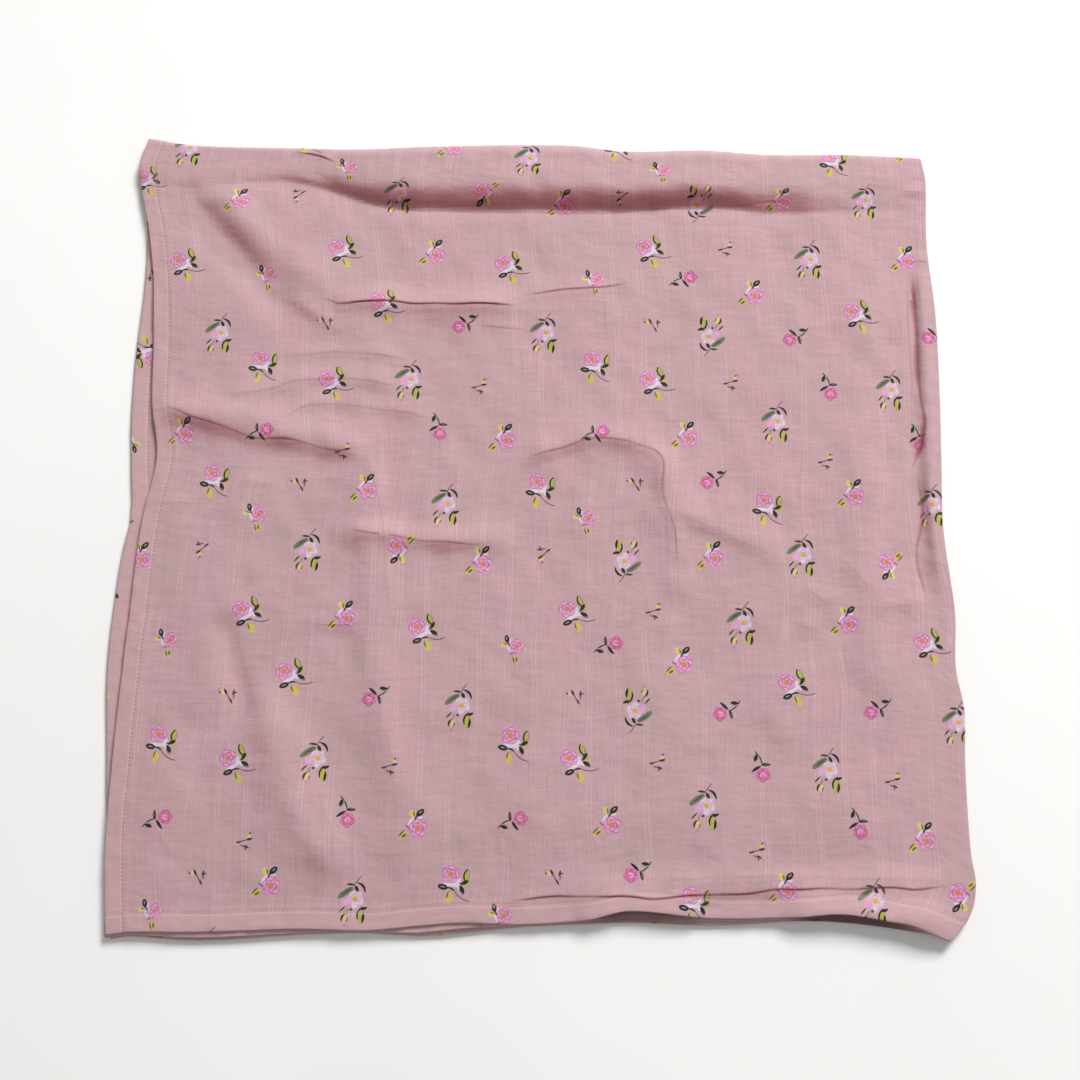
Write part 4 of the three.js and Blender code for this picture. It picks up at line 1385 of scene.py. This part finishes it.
@dataclass
class ClothPiece:
    """The cloth as one closed mesh with its maps and its finish."""

    cloth: FoldedCloth
    finish: PrintedMuslin

    LIGHT_SIDE = (0.34, 0.94)  # the way to the light in plan, along x and y
    PAINTED_SHADE_TURNS = (0.06, 0.6)  # how far the surface turns from it where the painted shade starts, and where it is full
    INNER_GAP_SHADE = 0.6  # painted shade on the whole inner side of the top layer
    CREASE_REACH = 9.0  # mm from a crease to which a quad knows it

    def build(self) -> bpy.types.Object:
        """Writes the mesh and dresses it."""
        cloth = self.cloth
        middle = self.centred(cloth.middle)
        across, up = cloth.flat_places()
        normals = self.normals(middle)
        offset = normals * (cloth.thickness(across, up) / 2)[..., None]
        points = np.concatenate([(middle + offset).reshape(-1, 3), (middle - offset).reshape(-1, 3)])
        rows, columns = middle.shape[:2]
        upper, rim = quad_corners(rows, columns), self.rim(rows, columns)

        mesh = bpy.data.meshes.new(cloth.name)
        self.write_faces(mesh, points * MM, np.concatenate([upper, upper[:, ::-1] + rows * columns, rim]))
        for name, of_quad in self.corner_maps(upper, across, up).items():
            self.write_map(mesh, name, of_quad, upper, rim % (rows * columns))
        top_layer = np.outer(cloth.rows.turn == 1, cloth.columns.turn == 1)
        # painted shade on the top layer's upper skin, where its slopes turn from the light
        painted_fold_shade = self.painted_fold_shade(normals) * top_layer
        none = np.zeros_like(painted_fold_shade)
        self.write_values(mesh, "printed_side", none + 1, none)
        self.write_values(mesh, "painted_fold_shade", painted_fold_shade, none)
        inner_shade = np.where(top_layer, self.INNER_GAP_SHADE, cloth.gap_shade)
        self.write_values(mesh, "gap_shade", cloth.gap_shade, inner_shade)
        mesh.materials.append(self.finish.build(cloth))

        piece = bpy.data.objects.new(cloth.name, mesh)
        bpy.context.scene.collection.objects.link(piece)
        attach(piece, "root")
        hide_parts("muslin_mat")
        return piece

    @staticmethod
    def centred(middle: Array) -> Array:
        """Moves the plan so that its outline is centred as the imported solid's is."""
        low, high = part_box("muslin_mat")
        target = (np.array([low.x + high.x, low.y + high.y]) / 2) / MM
        plan = middle[..., :2].reshape(-1, 2)
        moved = middle.copy()
        moved[..., :2] += target - (plan.min(0) + plan.max(0)) / 2
        return moved

    @staticmethod
    def normals(middle: Array) -> Array:
        """Unit normals, facing up on the top layer: the cross product of the steps along columns and rows."""
        normal = np.cross(np.gradient(middle, axis=1), np.gradient(middle, axis=0))
        return normal / np.linalg.norm(normal, axis=2, keepdims=True)

    def painted_fold_shade(self, normals: Array) -> Array:
        """Painted shade in the folds, rosy: it rises as the surface turns from the light's side."""
        away = -(self.LIGHT_SIDE[1] * normals[..., 1] + self.LIGHT_SIDE[0] * normals[..., 0])
        return rise(*self.PAINTED_SHADE_TURNS, away)

    @staticmethod
    def write_values(mesh: bpy.types.Mesh, name: str, upper: Array, lower: Array) -> None:
        """Writes a value for each point of the upper and the lower skin."""
        values = np.concatenate([upper.ravel(), lower.ravel()]).astype(np.float32)
        mesh.attributes.new(name, "FLOAT", "POINT").data.foreach_set("value", values)

    @staticmethod
    def rim(rows: int, columns: int) -> Indices:
        """Quads that close the cloth's cut edge, round the grid from its first corner."""
        j, i = np.arange(rows) * columns, np.arange(columns)
        ring = np.concatenate([i[:-1], j[:-1] + i[-1], j[-1] + i[:0:-1], j[:0:-1]])
        after, below = np.roll(ring, -1), rows * columns
        return np.stack([ring + below, after + below, after, ring], axis=1)

    @staticmethod
    def write_faces(mesh: bpy.types.Mesh, points: Array, faces: Indices) -> None:
        """Puts points and quads into a mesh and makes it smooth."""
        mesh.vertices.add(len(points))
        mesh.vertices.foreach_set("co", points.astype(np.float32).ravel())
        mesh.loops.add(faces.size)
        mesh.loops.foreach_set("vertex_index", faces.astype(np.int32).ravel())
        mesh.polygons.add(len(faces))
        mesh.polygons.foreach_set("loop_start", np.arange(0, faces.size, 4, dtype=np.int32))
        mesh.polygons.foreach_set("use_smooth", np.ones(len(faces), bool))
        mesh.update(calc_edges=True)
        mesh.validate()

    def corner_maps(self, quads: Indices, across: Array, up: Array) -> dict[str, Array]:
        """The maps of the upper skin's quads.

        cloth holds the place on the flat cloth, in metres. The other three hold hundredths of what they
        name: sprigs the place in the drawing of the nearest sprig, ghosts the offset from the nearest sprig
        of the layer below, and creases the distance to the nearest crease and its signed strength.

        Args:
            quads: the corners of each quad, by their number in the grid.
            across, up: the places on the flat cloth, in mm.

        Returns:
            Each map by its name, quads by four by two.
        """
        print_x, print_y = self.print_coordinates(across, up)
        below_x = 2 * print_x[:, [self.cloth.columns.fold]] - print_x
        flat, printed, below = (
            np.stack([x.ravel()[quads], y.ravel()[quads]], axis=-1)
            for x, y in ((across, up), (print_x, print_y), (below_x, print_y))
        )
        layout = PrintLayout.whole()
        return {
            "cloth": flat * MM,
            "sprigs": layout.local(printed) / 100,
            "ghosts": layout.offsets(below)[1] / 100,
            "creases": self.crease_map(quads) / 100,
        }

    def print_coordinates(self, across: Array, up: Array) -> tuple[Array, Array]:
        """Where each point lies in the print: the top layer's plan, carried on past the folds by distance."""
        cloth = self.cloth
        i, j = cloth.columns.fold, cloth.rows.fold
        beyond_side = np.arange(across.shape[1])[None, :] > i
        beyond_end = np.arange(across.shape[0])[:, None] > j
        x = np.where(beyond_side, cloth.plan_x[:, [i]] + across - across[:, [i]], cloth.plan_x)
        y = np.where(beyond_end, cloth.plan_y[[j], :] + up - up[[j], :], cloth.plan_y)
        return x, y

    def crease_map(self, quads: Indices) -> Array:
        """Distance to the crease nearest to each quad, in mm, and its strength, quads by four by two.

        The mean distance of the quad's corners counts, and past CREASE_REACH the strength is 0. Only the
        top layer has creases.
        """
        cloth = self.cloth
        x, y = cloth.plan_x.ravel()[quads], cloth.plan_y.ravel()[quads]
        best = np.full(len(x), self.CREASE_REACH)
        out = np.zeros((*x.shape, 2))
        for crease in CREASES:
            distance, fade = crease.measure(x, y)
            score = np.where(fade.max(axis=1) > 0, np.abs(distance).mean(axis=1), np.inf)
            nearer = score < best
            best = np.where(nearer, score, best)
            strength = crease.line * fade * crease.pinch.value
            out[nearer] = np.stack([distance, strength], axis=-1)[nearer]
        row, column = np.divmod(quads.max(axis=1), cloth.middle.shape[1])
        out[(column > cloth.columns.fold) | (row > cloth.rows.fold)] = 0
        return out

    @staticmethod
    def write_map(mesh: bpy.types.Mesh, name: str, of_quad: Array, upper: Indices, rim: Indices) -> None:
        """Writes one UV map: the upper quads' values, the lower quads' the other way round, and the rim's.

        A rim quad takes, at each corner, the value of some quad that meets that point.
        """
        at_point = np.zeros((upper.max() + 1, 2))
        at_point[upper] = of_quad
        values = np.concatenate([of_quad, of_quad[:, ::-1], at_point[rim]])
        mesh.uv_layers.new(name=name).data.foreach_set("uv", values.astype(np.float32).ravel())


@dataclass
class Studio:
    """The plain pale floor, the soft light and the camera, in metres."""

    floor_size: float = 16.0
    floor_tone: Tint = Tint((250, 249, 247))
    floor_unevenness: float = 0.97  # how bright its darker clouds are beside the rest
    sky_strength: float = 0.34
    sky_colour: Colour = (1.0, 0.995, 0.99, 1.0)
    # The soft lights: name, place, size and power
    lights: tuple[tuple[str, Place, float, float], ...] = (
        ("key light", (1.7, 3.2, 2.85), 1.6, 276.0),
        ("fill light", (0.3, -0.4, 2.6), 2.4, 10.0),
    )
    # The camera stands 78 degrees above the floor, and its picture is 1080 pixels square
    look_at: Place = (0.0047, -0.0202, 0.008)
    camera_offset: Place = (0.0, -0.1992, 0.937)
    lens: float = 43.73

    def build(self) -> str:
        """Builds the studio and returns the floor's name."""
        floor = self.build_floor()
        for name, place, size, power in self.lights:
            lamp = bpy.data.lights.new(name, "AREA")
            lamp.size, lamp.energy = size, power
            self.aim(name, lamp, Vector(place), Vector())
        self.build_sky()
        data = bpy.data.cameras.new("camera")
        data.sensor_width, data.lens = 36.0, self.lens
        target = Vector(self.look_at)
        bpy.context.scene.camera = self.aim("camera", data, target + Vector(self.camera_offset), target)
        bpy.context.scene.view_settings.view_transform = "Standard"
        return floor.name

    @staticmethod
    def aim(name: str, data: bpy.types.ID, place: Vector, target: Vector) -> bpy.types.Object:
        """Puts a lamp or a camera at a place and points it at a target."""
        holder = bpy.data.objects.new(name, data)
        holder.location = place
        holder.rotation_mode = "QUATERNION"
        holder.rotation_quaternion = (target - place).to_track_quat("-Z", "Y")
        bpy.context.scene.collection.objects.link(holder)
        return holder

    def build_floor(self) -> bpy.types.Object:
        """A flat pale floor with a faint unevenness in its tone."""
        half = self.floor_size / 2
        mesh = bpy.data.meshes.new("floor")
        mesh.from_pydata([(-half, -half, 0), (half, -half, 0), (half, half, 0), (-half, half, 0)], [], [(0, 1, 2, 3)])
        material = bpy.data.materials.new("pale floor")
        material.use_nodes = True
        bench = NodeBench(material.node_tree)
        shader = material.node_tree.nodes["Principled BSDF"]
        where = bench.add("TexCoord").outputs["Object"]
        cloudy = bench.ramp(bench.noise(where, (3.0, 3.0, 3.0)), 0.3, 0.7)
        tone = self.floor_tone.linear
        darker = (*(part * self.floor_unevenness for part in tone[:3]), 1.0)
        bench.plug(shader.inputs["Base Color"], bench.blend(cloudy, darker, tone))
        shader.inputs["Roughness"].default_value = 0.9
        mesh.materials.append(material)
        floor = bpy.data.objects.new("floor", mesh)
        bpy.context.scene.collection.objects.link(floor)
        return floor

    def build_sky(self) -> None:
        """An even pale surrounding."""
        world = bpy.data.worlds.new("studio")
        world.use_nodes = True
        sky = world.node_tree.nodes["Background"]
        sky.inputs["Color"].default_value = self.sky_colour
        sky.inputs["Strength"].default_value = self.sky_strength
        bpy.context.scene.world = world


def main() -> None:
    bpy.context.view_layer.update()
    cloth = FoldedCloth()
    piece = ClothPiece(cloth, PrintedMuslin()).build()
    log.info("%s: %d faces", piece.name, len(piece.data.polygons))
    floor_name = Studio().build()
    log.info("studio: floor, sky, two soft lights and the camera")


if __name__ == "__main__":
    main()
